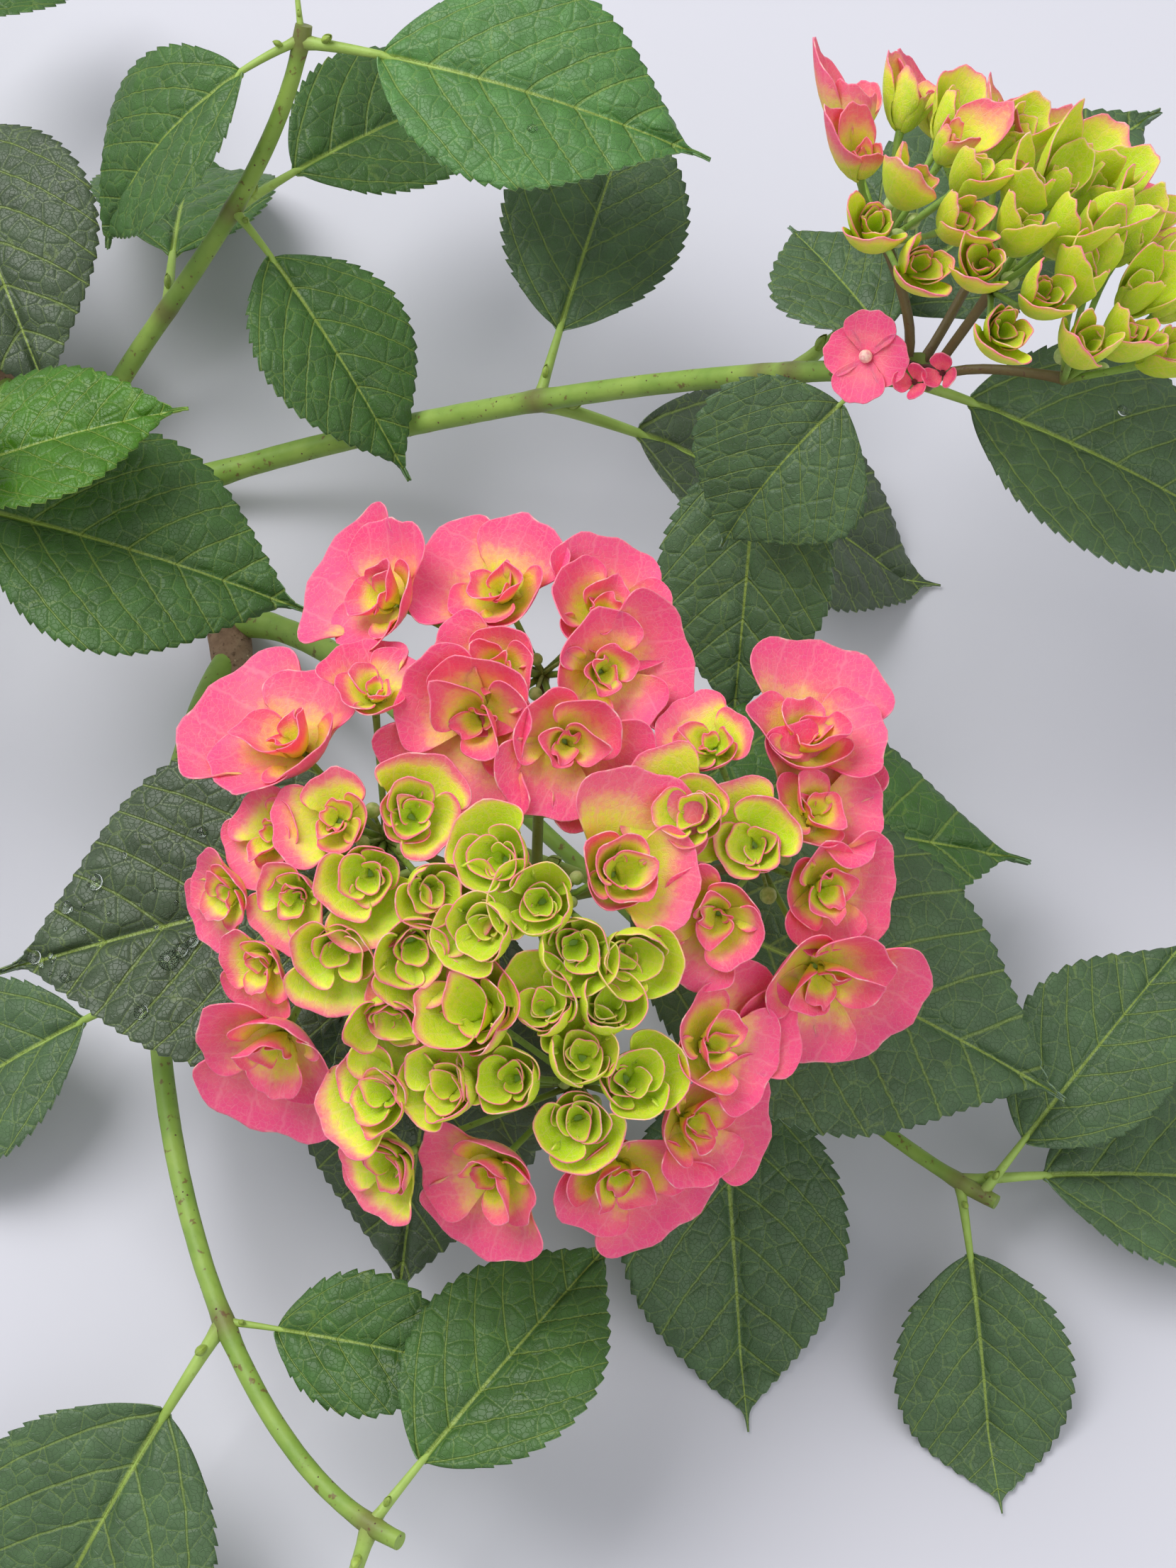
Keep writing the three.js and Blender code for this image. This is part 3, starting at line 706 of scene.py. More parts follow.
class Marks:
    """Points, in lines or alone, from which Geometry Nodes make limbs or small things."""

    def __init__(self):
        self.points = []
        self.edges = []
        self.values = {}

    def add(self, points, **values):
        self.points.extend(points)
        for key, rows in values.items():
            self.values.setdefault(key, []).extend(rows)

    def line(self, points, radii, tone=0.0):
        """Adds a line with its radii, and with how red or how far out its skin is."""
        first, count = len(self.points), len(points)
        self.edges += [(i, i + 1) for i in range(first, first + count - 1)]
        self.add(points, thick=np.broadcast_to(radii, count) * MM, tone=np.broadcast_to(tone, count))

    def spot(self, point, size, way):
        """Adds the place of a small thing, with its size and the way that it faces."""
        self.add([point], size=[size * MM], way=[way])

    def make(self, name):
        """The mesh object of all that was added."""
        mesh = bpy.data.meshes.new(name)
        mesh.from_pydata(place_in_frame(self.points).tolist(), self.edges, [])
        set_values(mesh, self.values)
        return own_mesh(name, mesh)


# Geometry Nodes


class Nodes:
    """A node tree under construction."""

    def __init__(self, tree):
        self.tree = tree

    def node(self, kind, setup=None, **inputs):
        """A node with its setup, and with its inputs filled by name or by number."""
        made = self.tree.nodes.new(kind)
        for key, value in (setup or {}).items():
            setattr(made, key, value)
        for key, value in inputs.items():
            self.fill(made.inputs[int(key[1:]) if key[1:].isdigit() else key.replace("_", " ")], value)
        return made.outputs

    def fill(self, socket, value):
        """Links a socket to an output, or sets its value."""
        if isinstance(value, bpy.types.NodeSocket):
            self.tree.links.new(value, socket)
        else:
            socket.default_value = value

    def math(self, operation, a, b=0.0):
        return self.node("ShaderNodeMath", {"operation": operation}, _0=a, _1=b)[0]

    def plus(self, a, b):
        return self.math("ADD", a, b)

    def minus(self, a, b):
        return self.math("SUBTRACT", a, b)

    def times(self, a, b):
        return self.math("MULTIPLY", a, b)

    def about(self, x, amount):
        """Noise of 0 to 1 as that amount, half of it either way."""
        return self.times(self.minus(x, 0.5), amount)


SOCKETS = {int: "Int", float: "Float", type(None): "Object"}
CAP_CORNERS = 5  # a face with as many corners closes a limb's end, and stays flat
LEAST_BUMP = 0.45  # the smallest bump over the largest


class Tree(Nodes):
    """A geometry node tree, with its named inputs and a material."""

    def __init__(self, name, **inputs):
        super().__init__(bpy.data.node_groups.new(name, "GeometryNodeTree"))
        face = self.tree.interface
        face.new_socket("Geometry", in_out="INPUT", socket_type="NodeSocketGeometry")
        for label, value in inputs.items():
            kind = f"NodeSocket{SOCKETS[type(value)]}"
            socket = face.new_socket(label, in_out="INPUT", socket_type=kind)
            if value is not None:
                socket.default_value = value
        face.new_socket("Material", in_out="INPUT", socket_type="NodeSocketMaterial")
        face.new_socket("Geometry", in_out="OUTPUT", socket_type="NodeSocketGeometry")
        self.given = self.tree.nodes.new("NodeGroupInput").outputs
        self.result = self.tree.nodes.new("NodeGroupOutput").inputs

    def value(self, name, kind="FLOAT"):
        return self.node("GeometryNodeInputNamedAttribute", {"data_type": kind}, Name=name)[0]

    def finish(self, geometry):
        """Ends the tree in Realize Instances and Set Material."""
        solid = self.node("GeometryNodeRealizeInstances", Geometry=geometry)[0]
        dressed = self.node("GeometryNodeSetMaterial", Geometry=solid, Material=self.given["Material"])[0]
        self.tree.links.new(dressed, self.result[0])
        return self.tree


def limb_tree():
    """Limbs along lines: a round section swept along each, with a rough skin."""
    t = Tree("Limbs", Sides=10, Relief=0.0, Grain=300.0)
    line = t.node("GeometryNodeMeshToCurve", Mesh=t.given["Geometry"])[0]
    ring = t.node("GeometryNodeCurvePrimitiveCircle", Resolution=t.given["Sides"], Radius=1.0)[0]
    skin = t.node(
        "GeometryNodeCurveToMesh", Curve=line, Profile_Curve=ring, Scale=t.value("thick"), Fill_Caps=True
    )[0]
    place = t.node("GeometryNodeInputPosition")[0]
    noise = t.node("ShaderNodeTexNoise", Vector=place, Scale=t.given["Grain"], Detail=3.0)[0]
    height = t.about(noise, t.given["Relief"])
    normal = t.node("GeometryNodeInputNormal")[0]
    offset = t.node("ShaderNodeVectorMath", {"operation": "SCALE"}, _0=normal, Scale=height)[0]
    skin = t.node("GeometryNodeSetPosition", Geometry=skin, Offset=offset)[0]
    corners = t.node("GeometryNodeInputMeshFaceNeighbors")[0]
    fewer = {"data_type": "INT", "operation": "LESS_THAN"}
    side = t.node("FunctionNodeCompare", fewer, _2=corners, _3=CAP_CORNERS)[0]
    return t.finish(t.node("GeometryNodeSetShadeSmooth", Geometry=skin, Shade_Smooth=side)[0])


def scatter_tree():
    """Small flat bumps scattered over a skin."""
    t = Tree("Scatter", Density=20000.0, Size=0.0006, Height=0.3, Seed=1)
    seed, size = t.given["Seed"], t.given["Size"]
    skin, density = t.given["Geometry"], t.given["Density"]
    spread = t.node("GeometryNodeDistributePointsOnFaces", Mesh=skin, Density=density, Seed=seed)
    bump = t.node("GeometryNodeMeshIcoSphere", Radius=1.0, Subdivisions=1)[0]
    bump = t.node("GeometryNodeSetShadeSmooth", Geometry=bump)[0]
    small = t.times(size, LEAST_BUMP)
    wide = t.node("FunctionNodeRandomValue", {"data_type": "FLOAT"}, _2=small, _3=size, Seed=seed)[1]
    scale = t.node("ShaderNodeCombineXYZ", X=wide, Y=wide, Z=t.times(wide, t.given["Height"]))[0]
    bumps = t.node(
        "GeometryNodeInstanceOnPoints", Points=spread[0], Instance=bump, Rotation=spread[2], Scale=scale
    )
    return t.finish(bumps[0])


def stud_tree():
    """A small thing on each point, as large as the point says and facing its way."""
    t = Tree("Studs", Thing=None)
    thing = t.node("GeometryNodeObjectInfo", {"transform_space": "ORIGINAL"}, Object=t.given["Thing"])[-1]
    way = t.value("way", "FLOAT_VECTOR")
    turn = t.node("FunctionNodeAlignRotationToVector", {"axis": "Z"}, Vector=way)[0]
    things = t.node(
        "GeometryNodeInstanceOnPoints",
        Points=t.given["Geometry"],
        Instance=thing,
        Rotation=turn,
        Scale=t.value("size"),
    )
    return t.finish(things[0])


MAKERS = {"limbs": limb_tree, "scatter": scatter_tree, "studs": stud_tree}
TREES = {}


def apply_tree(piece, name, material, **values):
    """Runs a tree on a piece, and keeps the result as its plain mesh."""
    if name not in TREES:
        TREES[name] = MAKERS[name]()
    modifier = piece.modifiers.new(name, "NODES")
    modifier.node_group = TREES[name]
    labels = {
        item.name: item.identifier
        for item in TREES[name].interface.items_tree
        if item.item_type == "SOCKET" and item.in_out == "INPUT"
    }
    for key, value in {"Material": material, **values}.items():
        modifier[labels[key]] = value
    bpy.context.view_layer.update()
    graph = bpy.context.evaluated_depsgraph_get()
    mesh = bpy.data.meshes.new_from_object(piece.evaluated_get(graph))
    old = piece.data
    piece.modifiers.clear()
    piece.data = mesh
    bpy.data.meshes.remove(old)
    return piece


# Materials


class Finish(Nodes):
    """A material under construction."""

    def __init__(self, name, **uniform):
        self.material = bpy.data.materials.new(name)
        self.material.use_nodes = True
        super().__init__(self.material.node_tree)
        self.shader = self.tree.nodes["Principled BSDF"].inputs
        for key, value in uniform.items():
            self.fill(self.shader[key.replace("_", " ")], value)

    def place(self):
        return self.node("ShaderNodeTexCoord")["Object"]

    def value(self, name):
        return self.node("ShaderNodeAttribute", {"attribute_name": name})["Fac"]

    def noise(self, scale, detail=2.0, rough=0.5):
        """Clouds of 0 to 1, as many to a metre as the scale."""
        return self.node(
            "ShaderNodeTexNoise", Vector=self.place(), Scale=scale, Detail=detail, Roughness=rough
        )[0]

    def cells(self, scale):
        """0 on the edges of cells, and more inside them."""
        edges = {"feature": "DISTANCE_TO_EDGE"}
        return self.node("ShaderNodeTexVoronoi", edges, Vector=self.place(), Scale=scale)[0]

    def step(self, low, high, x):
        """0 at low, 1 at high."""
        smoothly = {"interpolation_type": "SMOOTHSTEP"}
        return self.node("ShaderNodeMapRange", smoothly, Value=x, _1=low, _2=high)[0]

    def specks(self, marks, amounts):
        """One amount all over, and another added in specks of a scale and a step."""
        (scale, low, high), (least, more) = marks, amounts
        return self.plus(self.times(self.step(low, high, self.noise(scale)), more), least)

    def blend(self, factor, a, b):
        """From colour a to colour b."""
        return self.node("ShaderNodeMix", {"data_type": "RGBA"}, _0=factor, _6=rgba(a), _7=rgba(b))[2]

    def ramp(self, factor, stops):
        """A colour out of places and colours, in order."""
        node = self.tree.nodes.new("ShaderNodeValToRGB")
        band = node.color_ramp
        while len(band.elements) < len(stops):
            band.elements.new(0.5)
        for element, (place, colour) in zip(band.elements, stops):
            element.position = place
            element.color = rgba(colour)
        self.fill(node.inputs[0], factor)
        return node.outputs[0]

    def paint(self, colour, height, distance, strength):
        """Ends in a colour, and in bump from a height of 0 to 1 over a distance in millimetres."""
        self.fill(self.shader["Base Color"], colour)
        bump = self.node("ShaderNodeBump", Strength=strength, Distance=distance * MM, Height=height)[0]
        self.fill(self.shader["Normal"], bump)
        return self.material


def rgba(colour):
    """A colour with its alpha, or an output as it is."""
    return colour if isinstance(colour, bpy.types.NodeSocket) else (*channels_of(colour), 1.0)


# A leaf's upper face. A step is a pair: where a mark is nothing and where it is full. Cells are as many to
# a metre, and noise is as many to a metre, its detail and its roughness.
BLADE_LOOK = {
    "wander": (60.0, 0.03),  # scale, and how far the veins wander
    "side_vein": (0.05, 0.012),  # step, over a side vein's pitch
    "midrib": (0.01, 0.003),  # step, over the blade's length
    "midrib_end": 1.1,  # how far up the blade the midrib would narrow to nothing
    "net": 210.0,
    "furrow": (0.16, 0.0),
    "thread": (0.035, 0.0),
    "fine_net": 850.0,
    "fine": (0.07, 0.0),
    "mottle": (120.0, 4.0, 0.6),
    "patches": (0.3, 0.75),
    "dark": 0.7,  # share of its brightness that a dark patch has
    "dye": {"thread": 0.24, "fine": 0.1, "side_vein": 0.42, "midrib": 0.85},  # how strong their colours are
    "depth": {"furrow": 0.6, "fine": 0.25, "side_vein": 0.8},
    "gloss": (-0.08, 0.1),  # how much smoother and rougher its patches are
}
# Its lower face.
UNDER_LOOK = {
    "net": (230.0, 0.07),  # scale, and how wide the threads are
    "fine": (800.0, 0.06),
    "mottle": (150.0, 3.0),
    "dark": 0.85,
    "dye": 0.5,
    "fine_height": 0.4,
}


def leaf_finish(name, top, vein, dull, gloss):
    """A blade's upper face: netted with veins that follow its own map, and mottled."""
    look = BLADE_LOOK
    f = Finish(name, Specular_IOR_Level=0.45)
    uv = f.node("ShaderNodeSeparateXYZ", Vector=f.node("ShaderNodeUVMap", {"uv_map": "UVMap"})[0])
    out = f.math("ABSOLUTE", f.minus(uv[0], 0.5))
    rise = f.plus(f.times(out, VEINS["slope"]), f.times(f.times(out, out), VEINS["curve"]))
    scale, reach = look["wander"]
    wander = f.about(f.noise(scale), reach)
    phase = f.times(f.plus(f.minus(uv[1], rise), wander), VEINS["count"])
    net = f.cells(look["net"])
    marks = {
        "furrow": f.step(*look["furrow"], net),
        "thread": f.step(*look["thread"], net),
        "fine": f.step(*look["fine"], f.cells(look["fine_net"])),
        "side_vein": f.step(*look["side_vein"], f.math("PINGPONG", phase, 0.5)),
        "midrib": f.step(*look["midrib"], f.math("DIVIDE", out, f.minus(look["midrib_end"], uv[1]))),
    }
    mottle = f.noise(*look["mottle"])
    colour = f.blend(f.step(*look["patches"], mottle), shaded(top, look["dark"]), top)
    for mark, strength in look["dye"].items():
        colour = f.blend(f.times(marks[mark], strength), colour, dull if mark == "fine" else vein)
    smoother, rougher = look["gloss"]
    rough = f.node("ShaderNodeMapRange", Value=mottle, _3=gloss + smoother, _4=gloss + rougher)[0]
    f.fill(f.shader["Roughness"], rough)
    height = 1.0
    for mark, depth in look["depth"].items():
        height = f.minus(height, f.times(marks[mark], depth))
    return f.paint(colour, height, distance=0.4, strength=0.8)


def underside_finish(name, ground, vein):
    """A blade's lower face: paler and more matt."""
    f = Finish(name, Roughness=0.68, Specular_IOR_Level=0.3)
    look = UNDER_LOOK
    net, fine = (f.step(wide, 0.0, f.cells(scale)) for scale, wide in (look["net"], look["fine"]))
    mottle = f.blend(f.noise(*look["mottle"]), shaded(ground, look["dark"]), ground)
    colour = f.blend(f.times(net, look["dye"]), mottle, vein)
    height = f.plus(net, f.times(fine, look["fine_height"]))
    return f.paint(colour, height, distance=0.2, strength=0.6)


# A sepal: scales and steps as for a leaf.
SEPAL_LOOK = {
    "mottle": (900.0, 4.0, 0.65),
    "patches": (160.0, 3.0, 0.6),
    "uneven": (0.45, 0.4),  # how much the patches and the mottle sway its colour
    "touch": (120.0, 0.4, 0.62),  # scale and step of the touches of riper colour on its rim
    "touched": (0.12, 0.38),  # how much riper the rim is, and where touched
    "bend": (420.0, 0.08),  # scale, and how far its veins bend
    "veins": 5.0,  # over its width
    "vein": (0.08, 0.0),
    "fine_net": 950.0,
    "fine": (0.09, 0.0),
    "strength": 0.5,  # of the veins and of the net
    "line_dye": 0.34,
    # Scale and step of the specks in which the rim's painted highlight is stronger.
    "speck": (260.0, 0.56, 0.66),
    "rim_highlight": (0.22, 0.6),  # how strong the painted highlight along the rim is, and how much stronger it is in its specks
    "line_depth": -0.8,
}


def sepal_finish(name, stops, pale):
    """A sepal: its colour by how pink it is, fanned with fine veins, and with a pale rim that is a painted
    highlight.
    """
    f = Finish(
        name,
        Roughness=0.52,
        Specular_IOR_Level=0.35,
        Subsurface_Weight=0.3,
        Subsurface_Scale=0.002,
        Subsurface_Radius=(1.0, 0.6, 0.25),
    )
    look = SEPAL_LOOK
    mottle = f.noise(*look["mottle"])
    rim = f.value("rim")
    ripe = f.plus(f.value("pink"), f.times(rim, f.specks(look["touch"], look["touched"])))
    by_patch, by_mottle = look["uneven"]
    uneven = f.plus(f.about(f.noise(*look["patches"]), by_patch), f.about(mottle, by_mottle))
    tint = f.ramp(f.plus(ripe, uneven), stops)
    scale, reach = look["bend"]
    bent = f.plus(f.value("fan"), f.about(f.noise(scale), reach))
    vein = f.step(*look["vein"], f.math("PINGPONG", f.times(bent, look["veins"]), 0.5))
    fine = f.step(*look["fine"], f.cells(look["fine_net"]))
    lines = f.times(f.math("MAXIMUM", vein, fine), look["strength"])
    veined = f.blend(f.times(lines, look["line_dye"]), tint, pale)
    # Painted highlight: the rim pales, more so in specks.
    edge = f.times(rim, f.specks(look["speck"], look["rim_highlight"]))
    height = f.plus(f.times(lines, look["line_depth"]), mottle)
    return f.paint(f.blend(edge, veined, pale), height, distance=0.18, strength=0.5)


# Steps of the other skins' marks, and how strong a fleck's colour is.
MOTTLE_STEP = (0.3, 0.7)
FLECK_STEP = (0.62, 0.7)
FLECK_DYE = 0.75
BARK_STEPS = (0.3, 0.5, 0.72)  # where bark is dark, light and pale
BARK_GRAIN_STEP = (0.5, 0.72)
WOOD_RINGS = (3.5, 0.3)  # how many, and how far they wander
WOOD_RING_STEP = (0.35, 0.5)
PITH_STEP = (0.26, 0.2)


def skin_finish(name, green, dark, fleck, tone, scale):
    """A green stalk's skin: flecked, and redder by its tone."""
    f = Finish(name, Roughness=0.5, Specular_IOR_Level=0.4)
    ground = f.blend(f.step(*MOTTLE_STEP, f.noise(scale * 0.25, detail=3.0)), green, dark)
    spots = f.step(*FLECK_STEP, f.noise(scale, rough=0.7))
    flecked = f.blend(f.times(spots, FLECK_DYE), ground, fleck)
    colour = f.blend(f.value("tone"), flecked, tone)
    return f.paint(colour, f.noise(scale * 1.6, detail=3.0), distance=0.25, strength=0.5)


def bark_finish(light, dark, pale):
    """Grey-brown bark, rough and worn in patches."""
    f = Finish("bark", Roughness=0.88, Specular_IOR_Level=0.2)
    broad = f.noise(90.0, detail=5.0, rough=0.6)
    fine = f.noise(700.0, detail=4.0, rough=0.7)
    ground = f.ramp(broad, list(zip(BARK_STEPS, (dark, light, pale))))
    colour = f.blend(f.step(*BARK_GRAIN_STEP, fine), ground, dark)
    return f.paint(colour, f.plus(broad, f.times(fine, 0.5)), distance=0.8, strength=0.9)


def wood_finish(wood, ring, pith):
    """The cut face of the stem: pale wood in rings round a white pith."""
    f = Finish("cut_wood", Roughness=0.8, Specular_IOR_Level=0.2)
    far = f.value("tone")
    count, wander = WOOD_RINGS
    rings = f.plus(f.times(far, count), f.times(f.noise(400.0), wander))
    grained = f.blend(f.step(*WOOD_RING_STEP, f.math("PINGPONG", rings, 0.5)), wood, ring)
    colour = f.blend(f.step(*PITH_STEP, far), grained, pith)
    return f.paint(colour, f.noise(1500.0, detail=3.0), distance=0.2, strength=0.6)


def plain_finish(name, light, dark, scale, rough):
    """A mottled skin of one hue."""
    f = Finish(name, Roughness=rough)
    colour = f.blend(f.step(*MOTTLE_STEP, f.noise(scale, detail=3.0)), dark, light)
    return f.paint(colour, f.noise(scale * 2), distance=0.1, strength=0.4)


# Settings that a user would change


def a_length(name, description, size):
    """A length, given in millimetres."""
    return bpy.props.FloatProperty(name=name, description=description, default=size * MM, unit="LENGTH")


def a_colour(name, description, code):
    """A colour, given as a web colour code."""
    return bpy.props.FloatVectorProperty(
        name=name, description=description, subtype="COLOR", default=linear(code)
    )


class HydrangeaLeafSettings(bpy.types.PropertyGroup):
    """Sizes and colours of the leaves."""

    tooth_pitch: a_length("Tooth pitch", "From one tooth of the margin to the next", 3.7)
    tooth_depth: a_length("Tooth depth", "How far a tooth stands out", 1.25)
    relief: a_length("Quilting", "How far the blade bulges between its veins", 1.0)
    blade: a_length("Blade thickness", "Thickness of the blade", 0.35)
    # The shade leaf green is painted shade, darker for the leaves under the heads. The bright leaf green is
    # painted light, lighter for the leaves where light falls.
    shade: a_colour("Shade leaf", "Old leaves under the heads", "#46573B")
    mist: a_colour("Soft leaf", "Grown leaves of a grey green", "#4C6840")
    fresh: a_colour("Fresh leaf", "Grown leaves of a full green", "#42692B")
    bright: a_colour("Bright leaf", "New leaves in the light", "#52833F")
    young: a_colour("Young leaf", "The youngest leaves", "#43760A")
    vein: a_colour("Vein", "Midrib and side veins", "#8BA044")


class HydrangeaFloretSettings(bpy.types.PropertyGroup):
    """Sizes and colours of the florets."""

    sepal: a_length("Sepal thickness", "Thickness of a sepal", 0.3)
    lime: a_colour("Lime", "The youngest florets", "#BEDA26")
    yellow: a_colour("Yellow green", "Feet of the sepals", "#E6E04A")
    peach: a_colour("Peach", "Where green turns to pink", "#F4B476")
    coral: a_colour("Coral", "Half open florets", "#F76E84")
    pink: a_colour("Pink", "Open florets", "#F44C82")
    # Pale colours the lighter veins, and the painted highlight along the rims.
    pale: a_colour("Rim", "Pale veins and rims", "#F9BDB6")


class HydrangeaStemSettings(bpy.types.PropertyGroup):
    """Sizes and colours of the stem, the shoots and the stalks."""

    bark: a_colour("Bark", "Bark of the woody stem", "#8A705A")
    green: a_colour("Shoot", "Skin of the green shoots", "#8DA84A")
    red: a_colour("Joint", "Red-brown joints and flecks", "#5E3230")
    bark_relief: a_length("Bark relief", "How rough the bark is", 0.7)


class HydrangeaStageSettings(bpy.types.PropertyGroup):
    """The floor and the light."""

    floor: a_colour("Floor", "Colour of the floor", "#CFCED6")
    light: bpy.props.FloatProperty(
        name="Light", description="Strength of the soft light", default=1.0, min=0.0
    )


def settings(name):
    return getattr(bpy.context.scene, f"hydrangea_{name}")


def settle(piece, slot, *nodes):
    """Rides a finished piece on the branch and hides what it stands for."""
    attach(piece, BODY)
    if nodes:
        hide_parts(*nodes)


# Leaves in the scene

LEAF_COLUMNS = (0, 0.045, 0.12, 0.22, 0.33, 0.44, 0.55, 0.66, 0.77, 0.87, 0.95, 1)
FINE_LEAVES = ("leaf_main_bloom_1",)  # nearest to the camera
MARGIN_STEPS = 400
LEAST_TEETH = 8
TOOTH_ROWS = (0, 0.3, 0.62, 0.88)  # where the rows cross a tooth, from its foot
TOOTH_CURVE = 0.8
TOOTHED = (0.06, 0.16, 0.93)  # where teeth begin, are full and start to fade
FULL_TOOTH = 8  # half the blade's width, in millimetres, from which its teeth are full
MARGIN_POWER = 10  # how closely the teeth keep to the margin
TIP = (0.86, 1.0)  # the stretch that narrows to the tip
TIP_SHARE = 0.2  # how narrow the tip is, over the solid's
REST = 1.0  # how far its ribs hold a blade off the floor
RIB_GAP = 0.1
# A leaf's stalk: rings, its foot's radius over the usual, how much the foot swells and how far up that
# reaches, and how red the foot is and how far up.
STALK = {"rings": 7, "foot": 1.08, "swell": 0.25, "swell_reach": 0.12, "red": 0.35, "red_reach": 0.1}
# The midrib under the blade: rings, where it starts and ends, how it tapers, and its least radius.
MIDRIB = {"rings": 16, "ends": (0.03, 0.97), "taper": 0.8, "least": 0.12}
# A side vein under the blade.
RIB = {
    "run": (0.008, 0.5),  # from where to where it may go outwards, over the blade's length
    "tried": 40,  # places tried along that
    "fewest": 5,  # of them that have to be inside the blade
    "top": 0.97,  # how far up the blade it may come
    "margin": 0.93,  # and how near the margin
    "rings": 12,
    "radii": (0.42, 0.12),
}
# How a blade stands up or sinks.
QUILT = {
    "cross_pitch": 6.5,  # millimetres from one bump between two veins to the next
    "cross_depth": 0.25,  # how much the blade sinks between them
    "cross_slant": 2.1,
    "groove_width": 0.07,  # over a side vein's pitch
    "groove": 0.5,  # depth over the quilting's
    "rib_width": 1.1,  # of the midrib's furrow, in millimetres
    "rib": 1.1,
    "middle": 0.12,  # from here outwards the quilting is full
    "margin": 0.8,  # and from here it fades towards the margin
    "waves": 9,
    "wave_lag": 1.3,
    "wave": 0.012,  # height of the margin's waves over the blade's length
    "next": 1.7,  # how far a leaf's pattern is shifted from the last leaf's
}
# Tones: the colour of a blade's lower face and how rough its upper face is. The shade tone is painted shade
# and the bright tone is painted light: darker and lighter copies of the leaf colours.
TONES = {
    "shade": ("#6C7C68", 0.42),
    "mist": ("#7E957C", 0.5),
    "fresh": ("#7C9E6C", 0.46),
    "bright": ("#8FB77F", 0.44),
    "young": ("#88AA4C", 0.4),
}


def tooth_rows(leaf, pitch):
    """Places along a blade for its rows of points, and how far each is along its tooth."""
    fine = np.linspace(0, 1, MARGIN_STEPS)
    margin = np.hypot(np.gradient(leaf.half(fine)), np.gradient(fine) * leaf.blade)
    far = np.concatenate([[0], np.cumsum(margin[1:])])
    teeth = max(LEAST_TEETH, round(far[-1] / pitch))
    marks = np.array([k + part for k in range(teeth) for part in TOOTH_ROWS] + [teeth], float)
    return np.interp(marks / teeth * far[-1], far, fine), marks % 1


def vein_rise(d):
    """How far up the blade a side vein is, at d outwards."""
    return VEINS["slope"] * d + VEINS["curve"] * d * d


def quilting(leaf, x, out, half):
    """How far the blade stands up or sinks: bulged between veins, sunk along them, and waved."""
    relief = settings("leaves").relief / MM * min(1.0, leaf.blade / LEAF["usual_blade"])
    turn = leaf.number * QUILT["next"]
    d = np.abs(out)
    phase = (x - vein_rise(d / leaf.blade)) * VEINS["count"]
    q = d / half
    pillow = np.cos((phase - 0.5) * 2 * math.pi) * 0.5 + 0.5
    crossing = d * 2 * math.pi / QUILT["cross_pitch"] + phase * QUILT["cross_slant"] + turn
    cross = 1 - QUILT["cross_depth"] + QUILT["cross_depth"] * np.cos(crossing)
    groove = bell(np.abs(phase - np.round(phase)), QUILT["groove_width"]) * QUILT["groove"]
    rib = bell(d, QUILT["rib_width"]) * QUILT["rib"]
    body = smooth(0.0, QUILT["middle"], q) * smooth(1.0, QUILT["margin"], q)
    wave = np.sin(x * QUILT["waves"] + turn * 3 + np.sign(out) * QUILT["wave_lag"])
    waved = wave * q**3 * leaf.blade * QUILT["wave"]
    return relief * (pillow * cross * body - groove * body - rib) + waved


def blade_piece(name, leaf, finishes):
    """The blade of one leaf, with its teeth, veins and quilting."""
    s = settings("leaves")
    x, tooth = tooth_rows(leaf, s.tooth_pitch / MM)
    columns = np.array(LEAF_COLUMNS)
    if name in FINE_LEAVES:
        columns = np.sort(np.concatenate([columns, (columns[1:] + columns[:-1]) / 2]))
    x, q = np.meshgrid(x, np.concatenate([-columns[:0:-1], columns]), indexing="ij")
    half = leaf.half(x) * mix(1, TIP_SHARE, smooth(*TIP, x))
    begin, full, fade = TOOTHED
    saw = (tooth**TOOTH_CURVE)[:, None] * smooth(begin, full, x) * smooth(1.0, fade, x)
    depth = s.tooth_depth / MM * np.minimum(1, half / FULL_TOOTH)
    out = q * half + np.sign(q) * np.abs(q) ** MARGIN_POWER * saw * depth
    base = leaf.surface(x, out, half)
    top = base + surface_normal(base) * quilting(leaf, x, out, half)[..., None]
    top[..., 2] = np.maximum(top[..., 2], s.blade / MM + REST)
    sheets = Sheets()
    sheets.add(top, s.blade / MM, np.stack([out / leaf.blade + 0.5, x], axis=-1), slots=(0, 1))
    return sheets.make(name.replace("leaf", "blade"), finishes)


def under_blade(leaf, x, out, radius):
    """Points for a vein's rib, half sunk in the blade's lower face."""
    half = leaf.half(x)
    drop = settings("leaves").blade / MM + radius * 0.5 - quilting(leaf, x, out, half)
    points = leaf.surface(x, out, half) - leaf.frame_at(x)[2] * np.asarray(drop, float).reshape(-1, 1)
    points[:, 2] = np.maximum(points[:, 2], radius + RIB_GAP)
    return points


def stalk_line(leaf, marks):
    """The stalk, and the midrib that runs on from it under the blade."""
    shares = np.linspace(0, 1, STALK["rings"])
    foot = leaf.line.at(shares * leaf.stalk / leaf.line.length)
    radius = leaf.radius * mix(STALK["foot"], LEAF["stalk_top"], shares)
    radius = radius * (1 + STALK["swell"] * bell(shares, STALK["swell_reach"]))
    x = np.linspace(*MIDRIB["ends"], MIDRIB["rings"])
    taper = leaf.radius * LEAF["stalk_top"] * (1 - x) ** MIDRIB["taper"] + MIDRIB["least"]
    under = under_blade(leaf, x, np.zeros_like(x), taper)
    red = np.concatenate([STALK["red"] * bell(shares, STALK["red_reach"]), np.zeros_like(x)])
    marks.line(np.concatenate([foot, under]), np.concatenate([radius, taper]), red)


